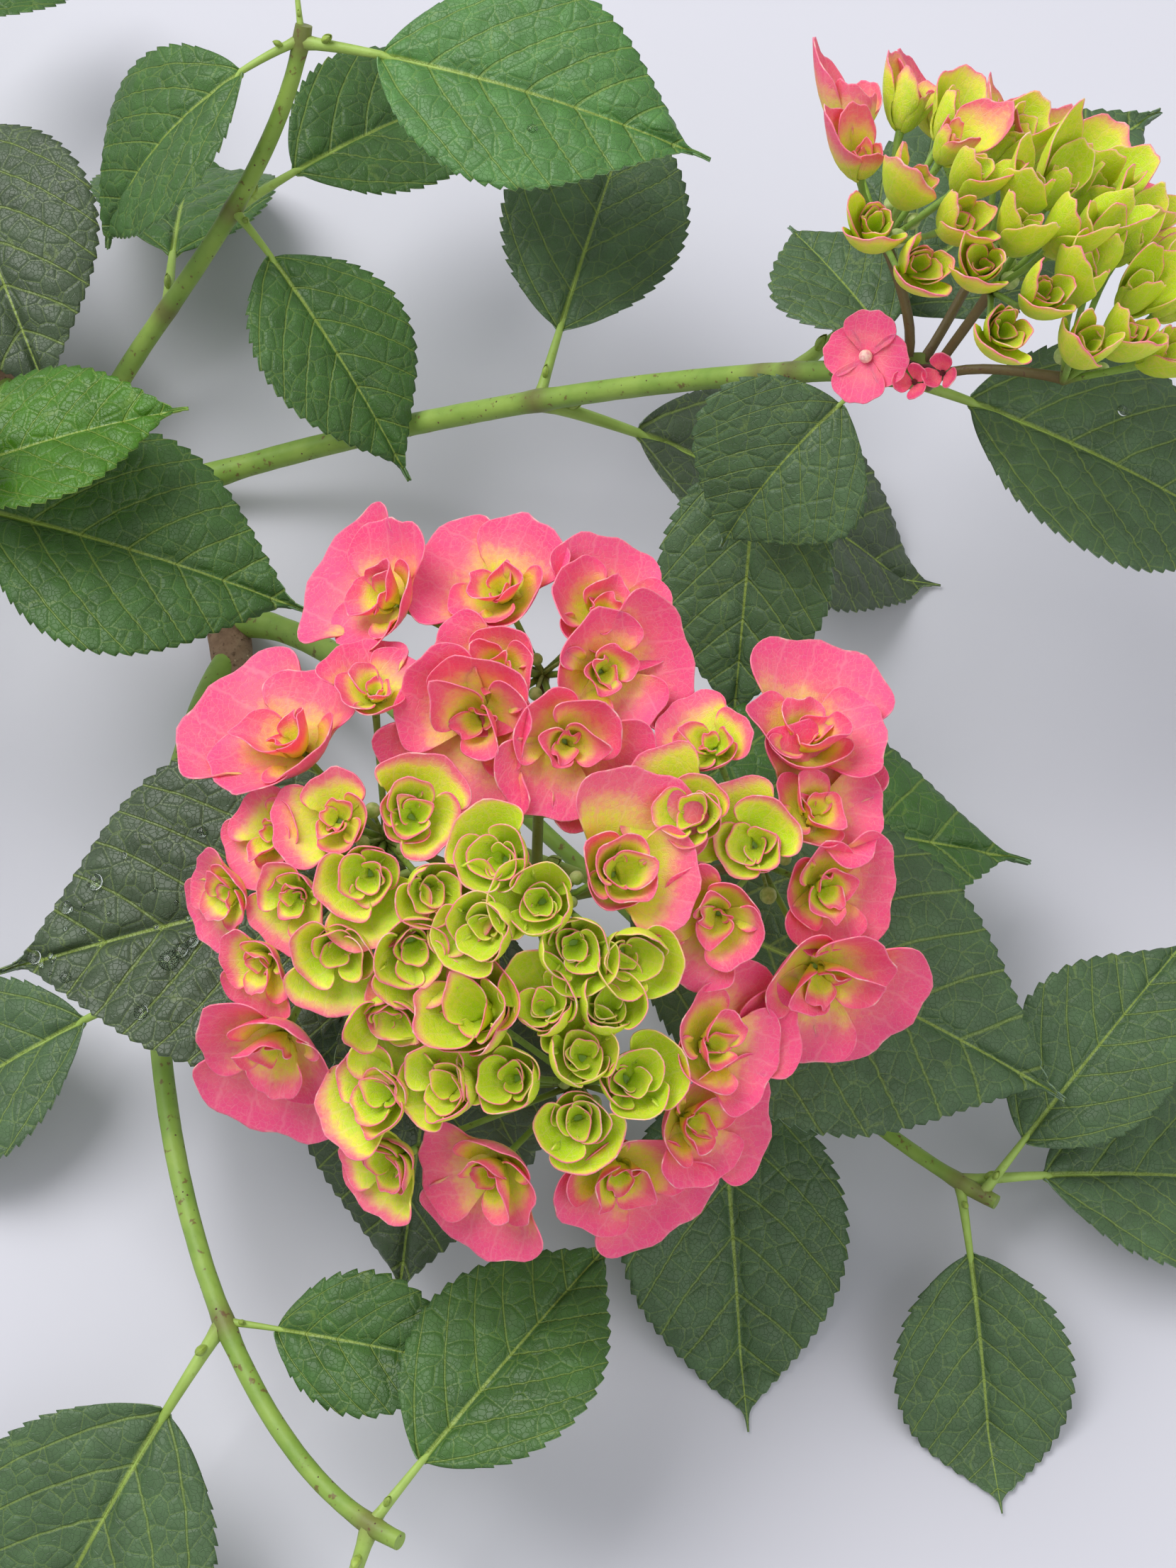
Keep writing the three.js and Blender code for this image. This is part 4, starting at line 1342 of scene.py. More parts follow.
def side_ribs(leaf, marks):
    """The side veins, raised under the blade."""
    count = VEINS["count"]
    start, end = RIB["run"]
    for k in range(int(count)):
        d = np.linspace(start, end, RIB["tried"])
        x = k / count + vein_rise(d)
        inside = (x < RIB["top"]) & (d * leaf.blade < leaf.half(np.minimum(x, 1)) * RIB["margin"])
        if inside.sum() < RIB["fewest"]:
            continue
        d = np.linspace(start, d[inside].max(), RIB["rings"])
        radius = np.linspace(*RIB["radii"], len(d)) * leaf.radius / LEAF["stalk_radius"]
        for side in (-1, 1):
            marks.line(under_blade(leaf, k / count + vein_rise(d), side * d * leaf.blade, radius), radius)


class HYDRANGEA_OT_leaves(bpy.types.Operator):
    """Builds each leaf's toothed blade, and its stalk and ribs"""

    bl_idname = "hydrangea.leaves"
    bl_label = "Leaves"

    def execute(self, context):
        s = settings("leaves")
        stems = settings("stems")
        finishes = {}
        for tone, (dull, gloss) in TONES.items():
            finishes[tone] = [
                leaf_finish(f"leaf_{tone}", getattr(s, tone), s.vein, dull, gloss),
                underside_finish(f"leaf_{tone}_under", dull, s.vein),
            ]
        rib = skin_finish("leaf_stalk", stems.green, "#9DB85A", s.vein, stems.red, 500.0)
        for name, leaf in BLADES.items():
            slot = "young_leaf" if leaf.tone == "young" else "leaf"
            settle(blade_piece(name, leaf, finishes[leaf.tone]), slot, name)
            marks = Marks()
            stalk_line(leaf, marks)
            side_ribs(leaf, marks)
            stalk = marks.make(name.replace("leaf", "stalk"))
            settle(apply_tree(stalk, "limbs", rib, Sides=8), slot, name)
        return {"FINISHED"}


# Stems in the scene

LIMB_STEP = 2.2  # millimetres between the rings of a limb
BARK_STEP = 1.6
LEAST_RINGS = 12
NODE_SWELL = 0.4  # how much all the leaves of a limb swell it where they stand
NODE_LENGTH = 3.5
NODE_RED = 0.55
BARK_BULGE = (0.05, 23)  # of the radius, and how fast it comes and goes
BARK_KNOT = (0.07, 0.43, 0.02)  # of the radius, where, and how long
BULGE_UP = 0.8  # how far the stem is lifted by its bulges, so that it lies on the floor
CUT_RINGS = (0.02, 0.2, 0.3, 0.5, 0.7, 0.86, 0.93)  # of a cut end, over its radius
CUT_SIDES = 32
CUT_THICKNESS = 0.6
CUT_PROUD = 0.25  # how far the wood's rim stands out of the stem's end
CUT_DOME = 0.25  # and how much further its middle does
SAW_MARKS = (0.12, 5, 9)  # height, how many round the pith, and how far they turn on the way out
# A bud beside a stalk, on a leaf of the usual size: length, how far along the stalk it is, how far out over
# the stalk's radius, and how much its foot and its point lean the stalk's way.
AXIL = {"length": 4.2, "along": 0.05, "out": 0.9, "foot_lean": 0.5, "point_lean": 0.4}
BALL_SIDES = 14
# A leaf bud that is 1 long: half the angle that a scale goes round, its reach from the bud's axis, how
# wide its foot starts and how it bulges, how much narrower and lower the inner scales are, their thickness,
# and their points up and round.
BUD = {
    "half_turn": 62, "reach": 0.26, "foot": 0.07, "bulge": 0.7, "narrower": 0.09, "lower": 0.12,
    "thick": 0.03, "points": (9, 7),
}


def limb_line(name, marks):
    """A limb's line, swollen and reddened where its leaves stand."""
    limb = LIMBS[name]
    shares = np.linspace(0, 1, max(LEAST_RINGS, int(limb.length / LIMB_STEP)))
    radii = np.asarray(limb.radius_at(shares), float)
    tone = np.zeros_like(shares)
    for row in LEAVES[name]:
        near = bell((shares - row[0]) * limb.length, NODE_LENGTH)
        radii = radii * (1 + NODE_SWELL * near / len(LEAVES[name]))
        tone = np.maximum(tone, near * NODE_RED)
    marks.line(limb.at(shares), radii, tone)


def ball_thing(name, steps, top, bottom):
    """A ball of radius 1 to be set on points, whose halves are as high as top and bottom."""
    turns = np.linspace(0, 2 * math.pi, BALL_SIDES + 1)[:-1]
    angles = np.linspace(-math.pi / 2, math.pi / 2, steps)[1:-1]
    rings = [(math.cos(a), math.sin(a) * (top if a > 0 else bottom)) for a in angles]
    points = [(0, 0, -bottom)]
    points += [(r * math.cos(a), r * math.sin(a), z) for r, z in rings for a in turns]
    points.append((0, 0, top))
    last = len(points) - 1
    top_ring = last - BALL_SIDES
    faces = []
    for i in range(BALL_SIDES):
        j = (i + 1) % BALL_SIDES
        faces += [(0, 1 + j, 1 + i), (last, top_ring + i, top_ring + j)]
        for low in range(1, top_ring, BALL_SIDES):
            high = low + BALL_SIDES
            faces.append((low + i, low + j, high + j, high + i))
    mesh = bpy.data.meshes.new(name)
    mesh.from_pydata(points, [], faces)
    mesh.shade_smooth()
    return own_mesh(name, mesh)


def bud_thing():
    """A leaf bud of two pairs of scales, 1 long and upright, to be set on points."""
    rows, columns = BUD["points"]
    up, round_it = np.meshgrid(np.linspace(0, 1, rows), np.linspace(-1, 1, columns), indexing="ij")
    swell = np.sin(np.clip(mix(BUD["foot"], 1, up), 0, 1) * math.pi) ** BUD["bulge"]
    uv = np.stack([round_it, up], axis=-1)
    sheets = Sheets()
    for k in range(4):
        inner = k // 2
        out = BUD["reach"] * swell * (1 - BUD["narrower"] * inner)
        angle = math.radians(90 * k) + round_it * math.radians(BUD["half_turn"])
        high = up * (1 - BUD["lower"] * inner)
        grid = np.stack([np.cos(angle) * out, np.sin(angle) * out, high], axis=-1)
        sheets.add(grid[:, ::-1] / MM - SHIFT, BUD["thick"] / MM, uv)
    return sheets.make("bud_pattern", [])


def studded(marks, name, finish, thing):
    """A small thing on each of the marks, as one piece."""
    return apply_tree(marks.make(name), "studs", finish, Thing=thing)


class HYDRANGEA_OT_stems(bpy.types.Operator):
    """Builds the woody stem with its bark, the green shoots, and the buds on them"""

    bl_idname = "hydrangea.stems"
    bl_label = "Stem and shoots"

    def execute(self, context):
        s = settings("stems")
        self.woody_stem(s)
        green = skin_finish("shoot_skin", s.green, "#75953A", "#6B4A2E", s.red, 420.0)
        for name in SHOOTS:
            marks = Marks()
            limb_line(name, marks)
            skin = apply_tree(
                marks.make(f"skin_{name}"), "limbs", green, Sides=20, Relief=0.25 * MM, Grain=220.0
            )
            settle(skin, "shoot", f"shoot_{name}")
        self.flecks(s.red)
        self.buds()
        return {"FINISHED"}

    def woody_stem(self, s):
        """The stem's bark, its lenticels, and the wood of its two cut ends."""
        bark = bark_finish(s.bark, "#4E3A2B", "#9C8870")
        pale = plain_finish("lenticel", "#C9B697", "#A08A6B", 900.0, 0.8)
        wood = wood_finish("#CDB98C", "#A58A5C", "#EFE7D0")
        limb = LIMBS["stem"]
        shares = np.linspace(0, 1, int(limb.length / BARK_STEP))
        plain = limb.radius_at(shares)
        bulge, pace = BARK_BULGE
        knot, place, reach = BARK_KNOT
        radii = plain * (1 + bulge * np.sin(shares * pace) + knot * bell(shares - place, reach))
        points = limb.at(shares)
        points[:, 2] += (radii - plain) * BULGE_UP
        marks = Marks()
        marks.line(points, radii)
        stem = marks.make("bark_of_stem")
        apply_tree(stem, "limbs", bark, Sides=48, Relief=s.bark_relief, Grain=260.0)
        dots = own_mesh("lenticels", stem.data.copy())
        apply_tree(dots, "scatter", pale, Density=9000.0, Size=0.55 * MM, Height=0.35, Seed=4)
        cut = self.cut_face("cut_face", limb, 0.0, -1, wood)
        stub = self.cut_face("stub_face", limb, 1.0, 1, wood)
        for piece in (stem, dots, cut, stub):
            settle(piece, "bark", "woody_stem")

    def cut_face(self, name, limb, share, sign, wood):
        """A thin disc of wood over an end of the stem, with its bark left proud."""
        out = limb.along(share) * sign
        side = unit(np.cross(out, (0, 0, 1)))
        up = np.cross(side, out)
        radius = limb.radius_at(share)
        far, turn = np.meshgrid(CUT_RINGS, np.linspace(0, 2 * math.pi, CUT_SIDES + 1), indexing="ij")
        height, count, twist = SAW_MARKS
        saw = height * np.sin(turn * count + far * twist) * far
        disc = (
            limb.at(share)
            + side * (np.cos(turn) * far * radius)[..., None]
            + up * (np.sin(turn) * far * radius)[..., None]
            + out * (CUT_PROUD + saw + CUT_DOME * (1 - far))[..., None]
        )
        sheets = Sheets()
        sheets.add(disc, CUT_THICKNESS, np.stack([turn / (2 * math.pi), far], axis=-1), tone=far)
        return sheets.make(name, [wood])

    def flecks(self, red):
        """Red-brown flecks on the green shoots."""
        fleck = plain_finish("fleck", red, "#4E3226", 1500.0, 0.6)
        for k, name in enumerate(SHOOTS):
            dots = own_mesh(f"flecks_{name}", bpy.data.objects[f"skin_{name}"].data.copy())
            apply_tree(dots, "scatter", fleck, Density=22000.0, Size=0.28 * MM, Height=0.3, Seed=20 + k)
            settle(dots, "shoot")

    def buds(self):
        """A bud in the angle of each leaf's stalk."""
        finish = plain_finish("bud", "#9DB64B", "#7A8E3A", 600.0, 0.5)
        thing = bud_thing()
        marks = Marks()
        for leaf in BLADES.values():
            way = leaf.line.along(0.0)
            up = unit(way * AXIL["foot_lean"] + np.array([0, 0, 1.0]))
            out = np.cross(np.cross(way, up), way) * leaf.radius * AXIL["out"]
            size = AXIL["length"] * leaf.radius / LEAF["stalk_radius"]
            marks.spot(leaf.line.at(AXIL["along"]) + out, size, unit(up + way * AXIL["point_lean"]))
        settle(studded(marks, "axil_buds", finish, thing), "shoot")
        bpy.data.objects.remove(thing)


# Florets in the scene

SEPAL_ROWS = np.array([0, 0.1, 0.22, 0.35, 0.48, 0.6, 0.71, 0.81, 0.89, 0.95, 0.98, 1])
SEPAL_SIDE = np.array([0, 0.16, 0.31, 0.45, 0.58, 0.7, 0.8, 0.88, 0.94, 0.98, 1])
SEPAL_COLUMNS = np.concatenate([-SEPAL_SIDE[:0:-1], SEPAL_SIDE])
SEPAL = {
    "claw": 0.2,  # width of its foot over its widest
    "claw_power": 1.1,
    "shoulder": 0.58,  # where its side turns into its top
    "top_power": (2.2, 1.3),  # of its top's curve, where blunt and where pointed
    "top_round": (0.5, 0.8),  # how steeply that curve ends, in the same order
    "nick": 0.045,  # how deep its margin is nicked, over its length
    "nicks": (7, 3),  # how fast they come and go
    "foot_gap": 0.5,  # from the floret's axis to its foot, in millimetres
    "least_bow": 0.22,  # the smallest radius of its cup over its width
    "waves": 4.2,  # how fast its rim waves
    "hook": 0.8,  # how far its tip turns back, over the height of the waves
    "side_rim": (5, 0.15, 0.5),  # how narrow its sides' rims are, and from where to where they fade in
    "pale_rim": 0.975,  # where the line of its rim starts, which takes riper touches and a painted highlight
    "thickness": (1.8, 0.8),  # of its foot and its rim, over the usual
}

# Kinds of floret, from the oldest, by the age that they are above. A row of whorls is a pair of sepals,
# from the outer one in: size over the floret's, how much younger than it they are, height of their foot,
# turn, how flat their foot is, height over the usual, and how far each goes round.
KINDS = {
    "open": {
        "above": 0.8,
        "fullness": 1.02,  # the sepals' reach over the solid's
        "outer_reach": 0.2,  # how much longer the outward sepal is
        "lip": 16,  # degrees that the inward sepals stand steeper
        "lean": 5,  # degrees that a sepal may lean past the rule
        "whorls": [
            (1.0, 0.0, 0.0, 0, 82, 1.0, 0.92),
            (0.86, 0.1, 0.5, 90, 78, 1.0, 0.96),
            (0.36, 0.55, 0.8, 38, 62, 1.25, 1.15),
            (0.15, 0.8, 1.1, 120, 46, 1.2, 1.4),
        ],
    },
    "half": {
        "above": 0.42,
        "fullness": 1.1,
        "outer_reach": 0.38,
        "lip": 10,
        "lean": 7,
        "whorls": [
            (1.0, 0.0, 0.0, 0, 82, 1.0, 0.96),
            (0.82, 0.12, 0.5, 90, 78, 1.0, 1.04),
            (0.52, 0.34, 0.8, 35, 64, 1.1, 1.25),
            (0.26, 0.5, 1.0, 120, 46, 1.15, 1.6),
        ],
    },
    "bud": {
        "above": 0,
        "fullness": 1.08,
        "outer_reach": 0.2,
        "lip": 0,
        "lean": 9,
        "whorls": [
            (1.0, 0.0, 0.0, 0, 82, 1.0, 1.02),
            (0.82, 0.06, 0.4, 90, 76, 1.08, 1.1),
            (0.55, 0.15, 0.6, 40, 60, 1.14, 1.5),
            (0.28, 0.3, 0.8, 130, 42, 1.18, 1.8),
        ],
    },
}
# For each of the four pairs: degrees that it may be turned round, how much its length may differ, how far
# its rims wave over the floret's width, and how much riper it is than the floret.
PAIRS = [(15, 0.1, 0.02, 0), (15, 0.1, 0.03, 0), (34, 0.2, 0.045, -0.25), (50, 0.2, 0.045, -0.35)]
OUTER_PAIRS = 2
OUTER_LEAD = 0.18  # how much riper the outward sepals of the outer pairs are
INNER_LEAN = math.radians(3)  # the inner sepals lean in no further than this
UNRIPE = 0.26  # florets younger than this have no pink but their rims
CLOSED_RIPENESS = 0.72  # how ripe the smaller florets are beside the widest
FLAT_FROM = math.radians(5)  # a sepal that leans out further than this is flatter
FLAT_AT = math.radians(50)  # and at this it is flat
WIDTH = (2.15, 1.8)  # of a closed sepal and of a flat one, over its reach
CUP = (1.0, 0.5)  # how cupped a closed sepal and a flat one are
TUCK = 0.045  # how far one side of a sepal stands in and the other out, over the floret's width
LIFT_WIDTH = 20  # width of the floret that the heights in KINDS are for
RIPENING = 1.2  # above 1, florets ripen late
# How much a sepal or its floret may differ by chance.
SWINGS = {"width": 0.07, "ripeness": 0.08, "blush": 0.05, "ground": 0.04}
# For an unripe sepal and a ripe one: where its pink sets in on the way to the rim, how softly, how strong
# it gets, and how pink the foot is.
PINKNESS = {"pinkness": (0.97, 0.43), "soft": (0.14, 0.62), "strength": (0.5, 1), "ground": (0.02, 0.26)}
RAY_RINGS = 10
STALK_RINGS = 9
# A ray's radius over the usual and a stalk's in millimetres, and by how much its foot and its tip are
# thicker and how far that reaches.
RAY_SWELL = (0.92, (0.3, 0.12), (0.25, 0.1))
STALK_SWELL = (0.7, (0.25, 0.1), (0.35, 0.12))
RAY_RED_REACH = 0.25  # how far down a ray its redder tip reaches
STALK_RED = (0.75, 0.16)  # how red a stalk's foot is, and how far up
STALK_END = 0.22  # the share of a stalk that keeps to its floret's axis


def sepal_grid(length, width, lean, foot, stretch, cup, tuck, lift, pointed, wave, seed):
    """A sepal's points in its own plane: out from the axis, up it, and across."""
    bend = foot - lean
    rows, columns = np.meshgrid(SEPAL_ROWS, SEPAL_COLUMNS, indexing="ij")
    top = np.maximum(0, 1 - np.abs(columns) ** mix(*SEPAL["top_power"], pointed))
    full = top ** mix(*SEPAL["top_round"], pointed)
    fast, slow = SEPAL["nicks"]
    nick = SEPAL["nick"] * np.sin(columns * fast + seed) * np.sin(columns * slow + seed * 2)
    s = rows * (mix(SEPAL["shoulder"], 1, full) + nick * rows)
    angle = foot - bend * s
    out = (np.cos(angle) - math.cos(foot)) / bend * length + SEPAL["foot_gap"]
    high = (math.sin(foot) - np.sin(angle)) / bend * length * stretch + lift
    widening = np.sin(math.pi / 2 * np.minimum(1, s / SEPAL["shoulder"])) ** SEPAL["claw_power"]
    spread = mix(SEPAL["claw"], 1, widening)
    bow = np.maximum(out, width * SEPAL["least_bow"]) / cup
    round_it = columns * spread * width / 2 / bow
    inward = bow * (1 - np.cos(round_it)) + tuck * columns * s
    inward = inward + wave * np.sin(columns * SEPAL["waves"] + seed) * s**3
    inward = inward - wave * SEPAL["hook"] * s**6
    out = out - np.cos(angle) * inward
    high = high + np.sin(angle) * inward
    return rows, columns, s, out, high, bow * np.sin(round_it)


def add_sepal(sheets, stand, azimuth, grid, thickness, pinkness, soft, strength, ground):
    """Adds one sepal to a floret's sheets, with its colour."""
    base, axis, outer = stand
    way = turned(outer, np.cross(axis, outer), azimuth)
    rows, columns, s, out, high, across = grid
    side = np.cross(axis, way)
    points = base + way * out[..., None] + axis * high[..., None] + side * across[..., None]
    power, begin, full = SEPAL["side_rim"]
    edge = np.maximum(rows, np.abs(columns) ** power * smooth(begin, full, s))
    pink = mix(ground, strength, smooth(pinkness - soft / 2, pinkness + soft, edge))
    fan = columns * 0.5 + 0.5
    thin = thickness * mix(*SEPAL["thickness"], SEPAL_ROWS)
    uv = np.stack([fan, rows], axis=-1)
    # The rim's line takes riper touches, and a painted highlight in the finish.
    sheets.add(points, thin, uv, pink=pink, rim=smooth(SEPAL["pale_rim"], 1.0, edge), fan=fan)


def rim_lean(age):
    return mix(FLORET["shut_angle"], FLORET["open_angle"], clamp(age, 0, 1))


def add_whorl(sheets, head, floret, stand, thickness, k):
    """Adds one pair of a floret's sepals."""
    spec = head.spec
    n = floret["number"]
    kind = next(kind for kind in KINDS.values() if floret["age"] > kind["above"])
    size, younger, lift, offset, foot, stretch, wrap = kind["whorls"][k]
    foot = math.radians(foot)
    turn_swing, length_swing, ruffle, riper = PAIRS[k]
    outermost = k < OUTER_PAIRS
    for half in range(2):
        seed = n * 8 + k * 2 + half
        turn = chance(n, "turn") * FLORET["turns"] + offset + 180 * half
        azimuth = math.radians(turn + swing(seed, "azimuth", turn_swing))
        outwards = math.cos(azimuth)
        age = clamp(floret["age"] - younger + FLORET["outer_age"] * outwards, 0, 1)
        lean = rim_lean(age * spec["openness"]) + math.radians(swing(seed, "lean", kind["lean"]))
        lean -= math.radians(kind["lip"]) * max(0, -outwards)
        if not outermost:
            lean = max(lean, INNER_LEAN)
        reach = floret["width"] / 2 * size * kind["fullness"] * spec["fullness"]
        reach *= 1 + FLORET["outer_length"] * outwards
        reach *= 1 + max(kind["outer_reach"], spec["hood"]) * outwards * outermost
        spread = (math.cos(max(lean, 0)) - math.cos(foot)) / (foot - lean)
        flatness = float(smooth(FLAT_FROM, FLAT_AT, lean))
        grid = sepal_grid(
            length=reach / spread * (1 + swing(seed, "length", length_swing)),
            width=reach * wrap * mix(*WIDTH, flatness) * (1 + swing(seed, "width", SWINGS["width"])),
            lean=lean,
            foot=foot,
            stretch=spec["stretch"] * stretch,
            cup=mix(*CUP, flatness),
            tuck=floret["width"] * TUCK,
            lift=lift * floret["width"] / LIFT_WIDTH,
            pointed=spec["pointed"][0] + swing(seed, "point", spec["pointed"][1]),
            wave=floret["width"] * ruffle,
            seed=seed,
        )
        ripe = clamp((floret["age"] - UNRIPE) / (1 - UNRIPE), 0, 1) ** RIPENING
        ripe *= spec["ripeness"] * (1 if n < len(spec["open"]) else CLOSED_RIPENESS)
        lead = OUTER_LEAD * outwards * outermost + riper
        ripe = clamp(ripe + lead * ripe + swing(n, "ripeness", SWINGS["ripeness"]) * (ripe > 0), 0, 1)
        add_sepal(
            sheets,
            stand,
            azimuth,
            grid,
            thickness,
            pinkness=mix(*PINKNESS["pinkness"], ripe),
            soft=mix(*PINKNESS["soft"], ripe) * spec["softness"],
            strength=mix(*PINKNESS["strength"], ripe**0.6) + swing(n, "blush", SWINGS["blush"]),
            ground=mix(*PINKNESS["ground"], ripe**2) + swing(n, "ground", SWINGS["ground"]),
        )


def floret_piece(head, floret, finish, thickness):
    """A floret: pairs of cupped sepals one inside the other."""
    sheets = Sheets()
    stand = head.stand(floret)
    for k in range(len(PAIRS)):
        add_whorl(sheets, head, floret, stand, thickness, k)
    return sheets.make(f"floret_{head.name}_{floret['number'] + 1}", [finish])


def swollen(shares, plain, foot, tip):
    """A radius along a line that is thicker at its foot and its tip."""
    return plain + foot[0] * bell(shares, foot[1]) + tip[0] * bell(shares - 1, tip[1])


def stalk_lines(head, ray, marks):
    """A ray and the stalks of its florets, reddened at their joints."""
    shares = np.linspace(0, 1, RAY_RINGS)
    red, redder = head.spec["ray_red"]
    tone = red + redder * bell(shares - 1, RAY_RED_REACH)
    marks.line(head.ray_route(ray).at(shares), RAY["radius"] * swollen(shares, *RAY_SWELL), tone)
    start = head.junction(ray) + head.axis * FLORET["stalk_foot"]
    t = np.linspace(0, 1, STALK_RINGS)
    red, reach = STALK_RED
    tone = red * bell(t, reach)
    for floret in head.florets:
        if floret["ray"] != ray:
            continue
        base, axis, _ = head.stand(floret)
        end = base + axis * FLORET["wall"] * FLORET["stalk_sunk"]
        last = axis * np.linalg.norm(end - start) * STALK_END
        line = Route(bezier(start, mix(start, end, 0.5), end - last, end))
        marks.line(line.at(t), swollen(t, *STALK_SWELL), tone)


class HYDRANGEA_OT_florets(bpy.types.Operator):
    """Builds the two flower heads: rays, stalks, and florets of cupped sepals"""

    bl_idname = "hydrangea.florets"
    bl_label = "Flower heads"

    def execute(self, context):
        s = settings("florets")
        stops = [(0.0, s.lime), (0.24, s.yellow), (0.42, s.peach), (0.66, s.coral), (0.96, s.pink)]
        finish = sepal_finish("sepal", stops, s.pale)
        red = settings("stems").red
        stalk = skin_finish("floret_stalk", "#8FAF4A", "#7A9A3C", "#55372A", red, 900.0)
        for name, head in BLOOMS.items():
            where = (f"{name}_florets", f"bloom_{name}")
            for floret in head.florets:
                settle(floret_piece(head, floret, finish, s.sepal / MM), *where)
            for k, ray_name in enumerate(head.spec["ray_names"]):
                marks = Marks()
                stalk_lines(head, k, marks)
                ray = marks.make(f"ray_{name}_{ray_name}")
                settle(apply_tree(ray, "limbs", stalk, Sides=8, Relief=0.1 * MM, Grain=500.0), *where)
        return {"FINISHED"}


# Small things: closed buds among the stalks, the first pink floret of the younger head, and water

# Closed buds: head, ray, how many, how far round the junction, and their radius.
CLOSED_BUDS = [
    ("main", 0, 5, 7, 1.5),
    ("main", 1, 7, 8, 1.8),
    ("main", 2, 4, 7, 1.5),
    ("main", 3, 4, 7, 1.5),
    ("main", 4, 5, 8, 1.6),
    ("young", 0, 5, 6, 1.7),
    ("young", 1, 4, 6, 1.8),
    ("young", 3, 4, 6, 1.6),
]
# How they stand: where their stalks bend, how much their height and their size may differ, and the radius
# and the rings of their stalks.
BUD_STALK = {"bend": 0.4, "height_swing": 1.5, "size_swing": 0.2, "radius": 0.45, "rings": 7}
FIRST_PINK = {
    "place": (-15, -2.4, 0),
    "above": 7,
    "way": (-0.35, -0.45, 0.82),
    "width": 17.5,
    "width_swing": 0.1,
    "sepal": (1.05, 1.3),  # a sepal's length and width, over half the floret's width
    "turn": 20,
    "lean": math.radians(68),
    "foot": math.radians(84),
    "heart": (1.1, 1.5),  # height and radius
    "stalk_radius": 0.75,
    "stalk_rings": 9,
}
# Pink scraps: where they stand from the first pink floret, and a sepal's length and width.
SCRAPS = ((10, -6, -1), (16, -5, 1))
SCRAP_SEPAL = (5.5, 5.0)
# Drops: leaf, how far along its blade, how far across its half, and radius.
DROPS = [
    ("main_bloom_1", 0.8, -0.72, 1.5),
    ("main_bloom_1", 0.72, -0.62, 1.9),
    ("main_bloom_1", 0.9, -0.15, 1.6),
    ("main_bloom_1", 0.83, 0.62, 1.4),
    ("main_bloom_1", 0.66, 0.72, 1.7),
    ("main_bloom_1", 0.58, 0.28, 2.3),
    ("main_bloom_1", 0.55, 0.22, 1.8),
    ("main_bloom_1", 0.52, 0.17, 1.5),
    ("main_bloom_1", 0.45, -0.5, 1.2),
    ("young_bloom_3", 0.78, -0.25, 2.2),
    ("young_bloom_2", 0.4, 0.45, 1.3),
    ("back_3", 0.5, -0.4, 1.2),
]
# Finer drops on the first of those leaves: how many, from where to where along it, how far across, and
# their radii.
FINE_DROPS = {"count": 34, "along": (0.25, 0.9), "across": 0.8, "radius": (0.35, 0.75)}
DROP_SHAPE = (0.62, 0.22)  # height over and under its widest, over its radius
DROP_LIFT = (0.1, 0.35)  # in millimetres, and of the blade's quilting
NEARBY = (0.02, 1.0)  # along a blade and out across it, to a place beside a drop


